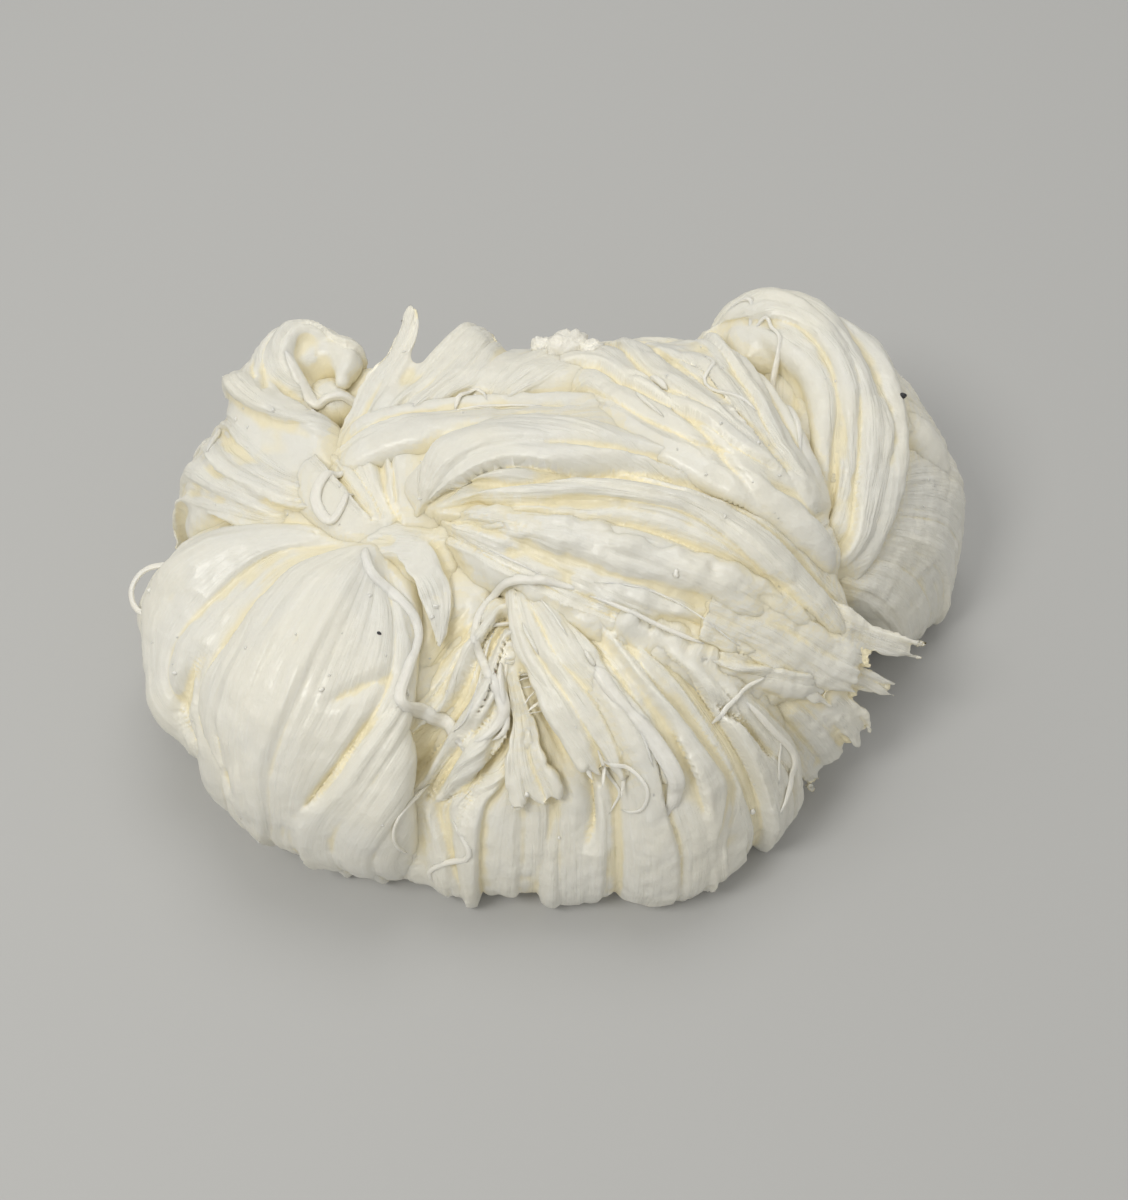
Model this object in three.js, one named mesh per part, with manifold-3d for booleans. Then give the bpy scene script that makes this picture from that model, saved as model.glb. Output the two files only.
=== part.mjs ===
// A hank of braided string cheese: skeins of pulled curd, twisted, looped and tucked into a knot.
// Millimetres, +Z up. The hank lies on its flat underside at z = 0, centred on the origin,
// with +X to the right and +Y to the back.
import * as THREE from "three";
import { LoftGeometry } from "three/addons/geometries/LoftGeometry.js";
import { mergeVertices } from "three/addons/utils/BufferGeometryUtils.js";
import Module from "manifold-3d";

// ---- driving dimensions ----------------------------------------------------------------------
const SHIFT = [-2.7, -2.5, 0]; // brings the middle of the hank's box over the origin
const DOME = { rx: 84, ry: 56, rz: 50, z: 8 }; // the round form that the skeins lie over
const CORE = { rx: 71, ry: 47, y: 1, height: 42, power: 2.8, levels: 6, sides: 24, topAngle: 1.49 };
const SEED = 7; // starts the row of repeatable draws
const SEEDS_PER_GROUP = 20; // draws kept apart for each fan or rope
const FLOOR_CUT = 60; // how deep the block is that trims the underside flat
const FACET_TOLERANCE = 0.5; // mm, how far merged facets may stray

// A bundle's section: an ellipse of the given width and thickness, grooved between its ridges.
const SECTION_SIDES = 8;
const GROOVE = 0.13; // depth of a groove, as a part of the radius

// Fans: bundles that leave a line near the knot and run out and down to a line on the ground.
// "swell" is the height at which a fan is widest, "round" the power of its falling curve.
const FANS = [
  {
    name: "left roll",
    from: [[-37, 8, 39], [-34, 4, 40]],
    to: [[-56, 22], [-72, 14], [-78, -1], [-75, -17]],
    swell: 15, tuck: 0.14, round: 2.4, count: 4, wide: [10, 29], thick: 11, ridges: 4, twist: 0.3,
  },
  {
    name: "left pouch",
    from: [[-35, 5, 41], [-31, 3, 42], [-26, -3, 41]],
    to: [[-66, -20], [-61, -31], [-49, -38], [-32, -42]],
    swell: 18, tuck: 0.14, round: 2.4, count: 5, wide: [9, 25], thick: 12, ridges: 4, twist: 0.3,
  },
  {
    name: "left flank",
    from: [[-44, 30, 40], [-38, 20, 41]],
    to: [[-63, 38], [-68, 28], [-64, 18]],
    swell: 22, tuck: 0.1, round: 2.4, count: 3, wide: [12, 22], thick: 11, ridges: 4, twist: 0.4,
  },
  {
    name: "front left strips",
    from: [[-19, 2, 40], [-6, -5, 42]],
    to: [[-38, -40], [-20, -46], [2, -48]],
    swell: 8, tuck: 0.1, round: 1.7, count: 5, wide: [7, 17], thick: 10, ridges: 4, twist: 0.5,
  },
  {
    name: "front right bundle",
    from: [[0, -8, 43], [10, -13, 44], [20, -16, 43]],
    to: [[9, -48], [26, -47], [40, -39], [49, -24]],
    swell: 9, tuck: 0.1, round: 1.8, count: 5, wide: [9, 20], thick: 11, ridges: 4, twist: 0.5,
  },
  {
    name: "back drape",
    from: [[-54, 32, 37], [-36, 40, 38], [0, 38, 43], [34, 42, 41], [54, 42, 43], [62, 32, 39]],
    to: [[-64, 34], [-44, 47], [0, 51], [36, 50], [59, 46], [76, 30]],
    swell: 15, tuck: 0.05, round: 2.6, count: 7, wide: [24, 34], thick: 11, ridges: 4, twist: 0.4,
  },
  {
    name: "right drape",
    from: [[53, 10, 32], [52, 2, 31], [48, -3, 29]],
    to: [[67, 36], [80, 33], [82, 20], [79, 8], [66, 1]],
    swell: 14, tuck: 0.06, round: 2.6, count: 5, wide: [8, 22], thick: 13, ridges: 4, twist: 0.2,
  },
];

// Ropes: bundles laid side by side between two guide lines.
const ROPES = [
  {
    name: "main rope",
    first: [
      [-24, 10, 42], [-24, 13, 48], [-14, 16, 53], [5, 15, 55],
      [27, 11, 54], [43, 3, 47], [53, -7, 37], [55, -12, 27],
    ],
    last: [
      [-23, 5, 40], [-19, 6, 46], [-5, 2, 50], [10, -4, 51],
      [27, -10, 46], [41, -15, 39], [51, -16, 32], [55, -17, 26],
    ],
    count: 4, wide: 11, thick: 11, ridges: 4, twist: 1.2, taper: [0.5, 0.5],
  },
  {
    name: "frayed rope",
    first: [[-19, 3, 44], [-2, -3, 48], [14, -12, 46], [33, -18, 41], [53, -17, 34], [70, -15, 29]],
    last: [[-17, -1, 42], [-2, -8, 42], [14, -19, 39], [32, -25, 33], [51, -24, 27], [67, -18, 25]],
    count: 3, wide: 9, thick: 8, ridges: 4, twist: 1.6, taper: [0.6, 0.3],
  },
  {
    name: "upper band",
    first: [[-42, 18, 42], [-31, 22, 47], [-14, 23, 50], [5, 21, 53], [24, 15, 53]],
    last: [[-42, 26, 40], [-30, 30, 46], [-12, 32, 47], [7, 30, 49], [26, 23, 51]],
    count: 2, wide: 8, thick: 7, ridges: 4, twist: 1.0, taper: [0.5, 0.5],
  },
  {
    name: "right upper bands",
    first: [[2, 45, 26], [5, 41, 43], [16, 28, 50], [31, 17, 53], [42, 7, 49], [51, -3, 39]],
    last: [[25, 50, 28], [27, 48, 43], [36, 38, 49], [44, 24, 49], [48, 12, 45], [52, 1, 38]],
    count: 4, wide: 12, thick: 10, ridges: 4, twist: 0.6, taper: [0.7, 0.5],
  },
  {
    name: "right loop",
    first: [
      [24, 46, 20], [31, 52, 38], [42, 54, 46], [53, 53, 48], [62, 45, 47],
      [65, 31, 44], [63, 15, 40], [56, 1, 33], [50, -6, 26],
    ],
    last: [
      [34, 40, 30], [38, 45, 42], [44, 46, 47], [50, 43, 47], [53, 36, 46],
      [55, 25, 44], [54, 12, 41], [50, 1, 36], [46, -5, 28],
    ],
    count: 3, wide: 9, thick: 11, ridges: 4, twist: 0.9, taper: [0.7, 0.5],
  },
  {
    name: "back wraps",
    first: [[-66, 30, 12], [-48, 46, 19], [0, 52, 24], [46, 51, 15], [71, 34, 10]],
    last: [[-60, 32, 31], [-42, 46, 33], [0, 48, 34], [40, 51, 26], [66, 40, 20]],
    count: 2, wide: 12, thick: 10, ridges: 4, twist: 1.4, taper: [0.5, 0.5],
  },
];

// Single bundles: curled flaps, leaves and thick threads that lie on top.
const SINGLES = [
  {
    name: "top left lobe",
    route: [[-40, 24, 30], [-48, 34, 34], [-51, 45, 34], [-49, 53, 28]],
    wide: 20, thick: 18, ridges: 4, twist: 0.4, taper: [0.8, 0.6],
  },
  {
    name: "top left curl",
    route: [
      [-39, 28, 39], [-49, 32, 41], [-56, 42, 40], [-54, 51, 41],
      [-46, 54, 42], [-40, 49, 43], [-42, 44, 41],
    ],
    wide: 11, thick: 12, ridges: 4, twist: 0.5, taper: [0.7, 0.4],
  },
  {
    name: "spike flap",
    route: [[-41, 22, 42], [-34, 35, 45], [-28, 47, 48], [-25, 57, 51]],
    wide: 10, thick: 4, ridges: 4, twist: 0.3, taper: [0.8, 0.1],
  },
  {
    name: "first leaf",
    route: [[-32, 25, 44], [-23, 36, 48], [-14, 44, 48], [-5, 50, 44]],
    wide: 16, thick: 6, ridges: 4, twist: 0.2, taper: [0.6, 0.5],
  },
  {
    name: "second leaf",
    route: [[-20, 28, 47], [-9, 36, 49], [3, 41, 48], [13, 42, 44]],
    wide: 13, thick: 6, ridges: 4, twist: 0.2, taper: [0.6, 0.6],
  },
  {
    name: "draped strings",
    route: [[-44, 24, 41], [-38, 16, 44], [-31, 10, 44], [-24, 5, 41]],
    wide: 19, thick: 8, ridges: 4, twist: 0.4, taper: [0.7, 0.6],
  },
  {
    name: "knot",
    route: [[-36, 8, 41], [-30, 4, 45], [-23, -1, 45], [-16, -4, 41]],
    wide: 12, thick: 8, ridges: 4, twist: 1.5, taper: [0.6, 0.6],
  },
  {
    name: "frayed strip",
    route: [[-6, -6, 43], [-2, -15, 44], [4, -25, 38], [12, -33, 30], [17, -38, 22]],
    wide: 11, thick: 5, ridges: 4, twist: 0.3, taper: [0.5, 0.4],
  },
  {
    name: "right back flap",
    route: [[60, 47, 40], [68, 45, 35], [75, 38, 27], [78, 30, 17]],
    wide: 15, thick: 6, ridges: 4, twist: 0.1, taper: [0.7, 0.6],
  },
  {
    name: "rope end spikes",
    route: [[56, -16, 31], [64, -14, 30], [71, -12, 29]],
    wide: 5, thick: 4, ridges: 4, twist: 0.3, taper: [0.8, 0.1],
  },
  {
    name: "rope end tail",
    route: [[52, -20, 29], [60, -21, 27], [67, -21, 25]],
    wide: 6, thick: 4, ridges: 4, twist: 0.3, taper: [0.8, 0.1],
  },
];

const SECTIONS_PER_POINT = 1.1; // sections of a bundle for each point of its route
const FAN_STEPS = 5; // points of a fan's route, after the first
const TUCKED_PART = 0.35; // the part of a fan's route that runs under its widest line
const FOOT_SINK = 2; // mm that a fan's route ends below the ground
const DRAWN_IN = { start: 0.2, end: 0.25 }; // the parts of a bundle that narrow to its ends

// How far neighbours differ: their place between the guides (as a part of their spacing),
// their width and thickness (as a part of it), and how far they stand up or sink in (mm).
const UNEVEN = { place: 0.2, size: 0.15, lift: 1.1 };

const FINISH = { color: 0xe6e2cf, roughness: 0.42, metalness: 0 };

// ---- routes ----------------------------------------------------------------------------------
const vector = ([x, y, z = 0]) => new THREE.Vector3(x, y, z);
const spline = (points) => new THREE.CatmullRomCurve3(points, false, "catmullrom", 0.5);

// A repeatable draw between -1 and 1: the broken part of a large sine.
function draw(seed) {
  const [stretch, size] = [12.9898, 43758.5453];
  const value = Math.sin(seed * stretch) * size;
  return 2 * (value - Math.floor(value)) - 1;
}

// One route of a fan. From the knot it falls along a superellipse to the fan's widest line,
// and from there it tucks in under the fan down to the ground.
function fanRoute(fan, across) {
  const start = spline(fan.from.map(vector)).getPoint(across);
  const foot = spline(fan.to.map(vector)).getPointAt(across);
  const power = 2 / fan.round;
  const points = [];
  for (let i = 0; i <= FAN_STEPS; i += 1) {
    const along = i / FAN_STEPS;
    const over = Math.min(along / (1 - TUCKED_PART), 1) * (Math.PI / 2);
    const under = Math.max(along - (1 - TUCKED_PART), 0) / TUCKED_PART;
    const out = Math.sin(over) ** power - fan.tuck * under ** 2;
    const fall = (fan.swell + FOOT_SINK) * under;
    const height = fan.swell + (start.z - fan.swell) * Math.cos(over) ** power - fall;
    points.push(new THREE.Vector3(start.x, start.y, 0).lerp(foot, out).setZ(height));
  }
  return spline(points);
}

// One route of a rope, a given part of the way from its first guide line to its last.
function ropeRoute(rope, across) {
  return spline(rope.first.map((point, i) => vector(point).lerp(vector(rope.last[i]), across)));
}

// ---- bundles ---------------------------------------------------------------------------------
// The way out of the hank at a point: the slope of the round form that the skeins lie over.
function outward(point) {
  return new THREE.Vector3(
    point.x / DOME.rx ** 2,
    point.y / DOME.ry ** 2,
    (point.z - DOME.z) / DOME.rz ** 2,
  ).normalize();
}

// The size of a bundle along its route: full in the middle and drawn in towards both ends.
function fullness(along, [startSize, endSize]) {
  const rise = Math.sin(Math.min(along / DRAWN_IN.start, 1) * (Math.PI / 2));
  const fall = Math.sin(Math.min((1 - along) / DRAWN_IN.end, 1) * (Math.PI / 2));
  return (startSize + (1 - startSize) * rise) * (endSize + (1 - endSize) * fall);
}

// A closed bundle along a route: an ellipse grooved between its strands, turned a little
// from section to section, so that the strands wind round each other. "wide" goes from its
// first value at the start to its second at the end.
function bundle(route, { wide, thick, ridges, twist, taper = [0.6, 0.7] }, seed = 0) {
  const [startWide, endWide] = Array.isArray(wide) ? wide : [wide, wide];
  const sections = Math.round(route.points.length * SECTIONS_PER_POINT);
  const scale = 1 + UNEVEN.size * draw(seed + 0.3);
  const lift = UNEVEN.lift * draw(seed + 0.7);
  const rings = [];
  for (let i = 0; i <= sections; i += 1) {
    const along = i / sections;
    const centre = route.getPoint(along);
    const tangent = route.getTangent(along);
    const side = new THREE.Vector3().crossVectors(outward(centre), tangent).normalize();
    const up = new THREE.Vector3().crossVectors(tangent, side);
    const size = fullness(along, taper) * scale;
    const halfWide = (size * (startWide + (endWide - startWide) * along)) / 2;
    const halfThick = (size * thick) / 2;
    centre.addScaledVector(up, lift * Math.sin(Math.PI * along));
    const ring = [];
    for (let k = 0; k < SECTION_SIDES; k += 1) {
      const angle = (k / SECTION_SIDES) * 2 * Math.PI;
      const wound = angle - along * twist * Math.PI;
      const radius = 1 - GROOVE * Math.cos((ridges * wound) / 2) ** 2;
      ring.push(
        centre.clone()
          .addScaledVector(side, radius * halfWide * Math.cos(angle))
          .addScaledVector(up, radius * halfThick * Math.sin(angle)),
      );
    }
    rings.push(ring);
  }
  return new LoftGeometry(rings, { closed: true, capStart: true, capEnd: true });
}

// The bundles of a fan or a rope, unevenly spread from one side to the other.
function family(group, routeOf, firstSeed) {
  const made = [];
  for (let i = 0; i < group.count; i += 1) {
    const seed = firstSeed + i;
    const moved = i + UNEVEN.place * draw(seed);
    const across = Math.min(Math.max(moved / (group.count - 1), 0), 1);
    made.push(bundle(routeOf(group, across), group, seed));
  }
  return made;
}

// The core under the skeins: a low dome on superelliptic sections.
function core() {
  const rings = [];
  for (let i = 0; i < CORE.levels; i += 1) {
    const height = Math.sin((i / (CORE.levels - 1)) * CORE.topAngle);
    const reach = (1 - height ** CORE.power) ** (1 / CORE.power);
    const ring = [];
    for (let k = 0; k < CORE.sides; k += 1) {
      const angle = (k / CORE.sides) * 2 * Math.PI;
      ring.push(new THREE.Vector3(
        CORE.rx * reach * Math.cos(angle),
        CORE.y + CORE.ry * reach * Math.sin(angle),
        height * CORE.height,
      ));
    }
    rings.push(ring);
  }
  return new LoftGeometry(rings, { closed: true, capStart: true, capEnd: true });
}

// ---- joining ---------------------------------------------------------------------------------
const wasm = await Module();
wasm.setup();

// A closed three.js geometry as a solid.
function solid(geometry) {
  const bare = new THREE.BufferGeometry();
  bare.setAttribute("position", geometry.getAttribute("position")).setIndex(geometry.getIndex());
  const merged = mergeVertices(bare, 1e-4);
  return new wasm.Manifold(new wasm.Mesh({
    numProp: 3,
    vertProperties: new Float32Array(merged.attributes.position.array),
    triVerts: new Uint32Array(merged.index.array),
  }));
}

// A solid as a three.js geometry with flat facets.
function geometryOf(body) {
  const mesh = body.getMesh();
  const geometry = new THREE.BufferGeometry();
  geometry.setAttribute("position", new THREE.BufferAttribute(new Float32Array(mesh.vertProperties), 3));
  geometry.setIndex(new THREE.BufferAttribute(new Uint32Array(mesh.triVerts), 1));
  const flat = geometry.toNonIndexed();
  flat.computeVertexNormals();
  return flat;
}

// All bundles and the core as one body, trimmed flat underneath.
function hank() {
  const parts = [core()];
  FANS.forEach((fan, i) => parts.push(...family(fan, fanRoute, SEED + SEEDS_PER_GROUP * i)));
  ROPES.forEach((rope, i) => (
    parts.push(...family(rope, ropeRoute, SEED + SEEDS_PER_GROUP * (FANS.length + i)))
  ));
  SINGLES.forEach((single) => parts.push(bundle(spline(single.route.map(vector)), single)));

  const block = new THREE.BoxGeometry(4 * CORE.rx, 4 * CORE.ry, FLOOR_CUT).translate(0, 0, -FLOOR_CUT / 2);
  const joined = parts.map(solid).reduce((sum, next) => sum.add(next)).subtract(solid(block));
  return joined.simplify(FACET_TOLERANCE).decompose()
    .reduce((largest, body) => (body.volume() > largest.volume() ? body : largest));
}

const cheese = new THREE.Mesh(geometryOf(hank()), new THREE.MeshStandardMaterial(FINISH));
cheese.name = "cheese";
cheese.position.set(...SHIFT);

const group = new THREE.Group();
group.add(cheese);

export default group;
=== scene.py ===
"""A hank of braided string cheese: skeins of pulled curd, twisted, looped and tucked into a knot.

The hank is made of strands. A strand is a grooved section carried along a route, worked out as
whole numpy arrays, and a torn leaf or tip is a thick sheet through guide lines. Those that have
grown together are fused into one skin for each main form, and the skin is drawn out along its
fibres. Threads, torn edges, crumbs and seeds lie on top. Lengths are millimetres until a mesh is
made.
"""
import math

import bpy
import numpy as np
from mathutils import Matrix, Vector
from mathutils.bvhtree import BVHTree


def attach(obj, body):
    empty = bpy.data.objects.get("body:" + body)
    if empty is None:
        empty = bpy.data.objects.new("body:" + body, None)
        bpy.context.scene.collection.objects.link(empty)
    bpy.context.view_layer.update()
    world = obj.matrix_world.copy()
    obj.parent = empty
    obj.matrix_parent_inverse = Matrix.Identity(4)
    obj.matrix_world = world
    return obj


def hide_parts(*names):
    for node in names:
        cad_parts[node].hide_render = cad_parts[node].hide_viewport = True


MM = 0.001
SHIFT = np.array([-2.7, -2.5, 0.0])  # brings the middle of the hank's box over the origin
DOME = {"reach": np.array([84.0, 56.0, 50.0]), "centre": np.array([0.0, 0.0, 8.0])}
CORE = {"x": -5, "y": 2, "rx": 63, "ry": 44, "height": 42, "power": 2.6}

TUCKED_PART = 0.35  # the part of a fan's route that runs under its widest line
FOOT_SINK = 2.0  # how deep a fan's route ends below the ground
REACH = 14.0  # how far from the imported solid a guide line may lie
BRIDGING = 10  # rounds of evening out a laid route
RESTING_REACH = 8.0  # how far from the pieces under it a thread's route may lie
MARKS = np.linspace(0, 1, 60)  # the places along a guide line

DRAWN_IN = (0.2, 0.25)  # the parts of a strand that narrow to its start and its end
SECTION_STEP = 0.55  # spacing of a section's points round its outline
ROUTE_STEP = 1.1  # spacing of the sections along a strand
RIBBON_STEP = 0.7  # and along a ribbon
SWELLING = 11  # how long a strand's swellings are
WANDERING = (24, 0.5)  # how long and how far a strand's grooves wander round it
GROOVES = (("folds", 26), ("strings", 15))  # a strand's two kinds of grooves and their lengths
SMOOTH_ENDS = 0.06  # the part of a strand at each end where its grooves run out
UNEVEN = {"place": 0.25, "size": 0.16, "lift": 1.0}  # how the strands of a family differ
SUNK_ENDS = {"part": 0.12, "depth": 0.8}  # the ends of a laid strand dip into the hank
EDGE_NOISE = {"rag": 2.2, "fine": 0.8, "sway": 14}  # lengths of the noises of a ribbon's edges
LATTICE_ROWS = 97  # rows of random values before a noise repeats
TABLE_SIZE = 4096  # random values that the cells of a noise in space share
CELL_KEYS = (73856093, 19349663, 83492791)  # large primes that scatter the cells over them

SEAM = 0.8  # width of the step from one band of a skin to the next
CROWDED = (3.2, 5.0)  # fibre per length of skin from which the fine fibres fade, and are gone
CLOSED = 0.45  # gaps up to twice as wide as this grow shut when strands are fused
BODY_VOXEL = 0.8  # cell size of a body's skin, before its strands are laid on it
SKIN_VOXEL = 0.45  # cell size of a finished skin, unless its region names another
SKIN_SOFTENING = 3  # rounds of softening of a finished skin, unless its region names others
LUMPS = [(9, 0.5), (2.2, 0.22)]  # spacing and depth of a skin's lumps, unless its region has others

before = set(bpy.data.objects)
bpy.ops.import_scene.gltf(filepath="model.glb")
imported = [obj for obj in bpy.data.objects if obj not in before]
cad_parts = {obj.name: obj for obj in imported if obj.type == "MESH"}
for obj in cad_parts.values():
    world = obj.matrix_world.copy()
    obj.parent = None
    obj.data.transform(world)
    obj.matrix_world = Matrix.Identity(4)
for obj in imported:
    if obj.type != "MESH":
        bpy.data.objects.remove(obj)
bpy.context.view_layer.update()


# ---- curves and noise ------------------------------------------------------------------------
def spline(points, places):
    """A Catmull-Rom curve: each stretch is the cubic whose slope at a point is half the step
    between that point's two neighbours. Places run from 0 to 1 over the points."""
    points = np.asarray(points, float)
    before, after = 2 * points[:1] - points[1:2], 2 * points[-1:] - points[-2:-1]
    padded = np.vstack([before, points, after])
    where = np.clip(places, 0, 1) * (len(points) - 1)
    stretch = np.minimum(where.astype(int), len(points) - 2)
    t = (where - stretch)[..., None]
    a, b, c, d = (padded[stretch + k] for k in range(4))
    bend, turn = 2 * a - 5 * b + 4 * c - d, 3 * b - a - 3 * c + d
    return 0.5 * (2 * b + (c - a) * t + bend * t**2 + turn * t**3)


def lengths(route):
    """The length along a route from its start to each of its points."""
    steps = np.linalg.norm(np.diff(route, axis=0), axis=1)
    return np.concatenate([[0], np.cumsum(steps)])


def evenly(route, step):
    """The same route with points a fixed step apart."""
    gone = lengths(route)
    marks = np.linspace(0, gone[-1], max(int(gone[-1] / step), 6))
    return np.column_stack([np.interp(marks, gone, route[:, axis]) for axis in range(3)])


def by_length(points, place):
    """The point at a part of a curve's length."""
    curve = spline(points, np.linspace(0, 1, 200))
    gone = lengths(curve)
    return np.array([np.interp(place * gone[-1], gone, curve[:, axis]) for axis in range(3)])


def unit(vectors):
    """Vectors of length 1 along the last axis."""
    return vectors / np.maximum(np.linalg.norm(vectors, axis=-1, keepdims=True), 1e-9)


def draw(seed):
    """A repeatable draw between -1 and 1: the broken part of a large sine."""
    value = math.sin(seed * 12.9898) * 43758.5453
    return 2 * (value - math.floor(value)) - 1


def ripple(down, around, cells, seed):
    """Smooth noise from -1 to 1: random values on a lattice that closes on itself after a
    number of cells around, blended between its corners by 3t^2 - 2t^3."""
    table = np.random.default_rng(seed).uniform(-1, 1, (LATTICE_ROWS, cells))
    down, around = np.broadcast_arrays(down, around * cells)
    row, column = np.floor(down).astype(int), np.floor(around).astype(int)
    across, along = around - column, down - row
    across, along = across**2 * (3 - 2 * across), along**2 * (3 - 2 * along)

    def corner(i, j):
        return table[(row + i) % LATTICE_ROWS, (column + j) % cells]

    near = corner(0, 0) * (1 - across) + corner(0, 1) * across
    far = corner(1, 0) * (1 - across) + corner(1, 1) * across
    return near * (1 - along) + far * along


def noise(place, seed):
    """Smooth noise from -1 to 1 in space: random values at the corners of unit cells, blended
    between them by 3t^2 - 2t^3."""
    table = np.random.default_rng(seed).uniform(-1, 1, TABLE_SIZE)
    keys = np.array(CELL_KEYS, np.int64)
    cell = np.floor(place).astype(np.int64)
    t = place - cell
    t = t * t * (3 - 2 * t)
    total = 0
    for i in (0, 1):
        for j in (0, 1):
            for k in (0, 1):
                key = np.bitwise_xor.reduce((cell + (i, j, k)) * keys, axis=1)
                share = abs(1 - i - t[:, 0]) * abs(1 - j - t[:, 1]) * abs(1 - k - t[:, 2])
                total = total + share * table[key & (TABLE_SIZE - 1)]
    return total


def wave(gone, long, seed):
    """Smooth noise from -1 to 1 along a length, with a new random value after each stretch."""
    return ripple(gone / long, np.zeros_like(gone), 3, seed)


def edge_wave(gone, long, cos, seed):
    """A wave for each of the two edges of a ribbon."""
    return np.where(cos > 0, wave(gone, long, seed), wave(gone, long, seed + 1))


# ---- routes ----------------------------------------------------------------------------------
def fan_route(fan, across):
    """One route of a fan. From the knot it falls along a superellipse to the fan's widest line,
    and from there it tucks in under the fan down to the ground."""
    start = spline([(*p, 0) if len(p) == 2 else p for p in fan["from"]], np.array([across]))[0]
    foot = by_length([(*p, 0) for p in fan["to"]], across)
    along = MARKS[:, None]
    power = 2 / fan["round"]
    over = np.minimum(along / (1 - TUCKED_PART), 1) * math.pi / 2
    under = np.maximum(along - (1 - TUCKED_PART), 0) / TUCKED_PART
    out = np.sin(over) ** power - fan["tuck"] * under**2
    swell = fan["swell"]
    height = swell + (start[2] - swell) * np.maximum(np.cos(over), 0) ** power
    height = height - (swell + FOOT_SINK) * under
    flat = start[:2] + (foot[:2] - start[:2]) * out
    return np.hstack([flat, height])


def rope_route(rope, across):
    """One route of a rope, a part of the way from its first guide line to its last."""
    first, last = np.array(rope["first"], float), np.array(rope["last"], float)
    return spline(first + (last - first) * across, np.linspace(0, 1, 80))


def laid(route, depth):
    """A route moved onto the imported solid, at each point a depth below its skin, and evened
    out over its neighbours, so that it bridges the solid's grooves."""
    return put_down(route, [SOLID], depth, BRIDGING, REACH)


def rested(route, height):
    """A route moved onto the pieces made so far, at a height over them."""
    return put_down(route, PIECES, np.full(len(route), -height), 3, RESTING_REACH)


def put_down(route, trees, depth, rounds, reach):
    """Each point goes to where a line from outside the hank, through the point, first meets
    one of the surfaces. A point that meets none keeps its place."""
    ways = outward(route)
    placed = route.copy()
    for i, (point, way) in enumerate(zip(route, ways)):
        start = Vector(point + reach * way)
        hits = [tree.ray_cast(start, Vector(-way), 2.2 * reach) for tree in trees]
        hits = [(distance, hit) for hit, _, _, distance in hits if hit is not None]
        if hits:
            placed[i] = np.array(min(hits, key=lambda pair: pair[0])[1]) - depth[i] * way
    for _ in range(rounds):
        placed[1:-1] = (placed[:-2] + 2 * placed[1:-1] + placed[2:]) / 4
    return placed


def tree_of(mesh):
    """A mesh as a surface to lay things on, in the hank's own millimetres."""
    sides = len(mesh.polygons[0].vertices)
    faces = face_corners(mesh).reshape(-1, sides)
    return BVHTree.FromPolygons(hank_places(mesh).tolist(), faces.tolist())


def to_ground(guide):
    """A guide line that ends above the ground, run on down to it."""
    x, y, z = guide[-1]
    return [*guide, (1.02 * x, 1.03 * y, 0.5 * z), (0.98 * x, 0.97 * y, 0)]


def guide_lines(form):
    """A form's guide lines as rows of points, evenly spaced by length: guide, place, axis."""
    guides = [to_ground(guide) if form.get("foot") else guide for guide in form["guides"]]
    lines = []
    for guide in guides:
        curve = spline(guide, np.linspace(0, 1, 100))
        gone = lengths(curve) / lengths(curve)[-1]
        lines.append(np.column_stack([np.interp(MARKS, gone, curve[:, axis]) for axis in range(3)]))
    return np.array(lines)


def between(lines, across):
    """A route between guide lines. "across" holds, for every place, a part of the way from
    the first line to the last."""
    where = np.clip(across, 0, 1) * (len(lines) - 1)
    low = np.minimum(where.astype(int), len(lines) - 2)
    part = (where - low)[:, None]
    row = np.arange(len(across))
    return lines[low, row] * (1 - part) + lines[low + 1, row] * part


def on_lines(lines, place, across):
    """Points of the sheet through guide lines, at parts of the way along them and from the
    first to the last."""
    between_two, between_marks = np.clip(across, 0, 1) * (len(lines) - 1), place * (len(MARKS) - 1)
    line = np.minimum(between_two.astype(int), len(lines) - 2)
    mark = np.minimum(between_marks.astype(int), len(MARKS) - 2)
    s, t = (between_two - line)[..., None], (between_marks - mark)[..., None]
    near = lines[line, mark] * (1 - t) + lines[line, mark + 1] * t
    far = lines[line + 1, mark] * (1 - t) + lines[line + 1, mark + 1] * t
    return near * (1 - s) + far * s


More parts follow.
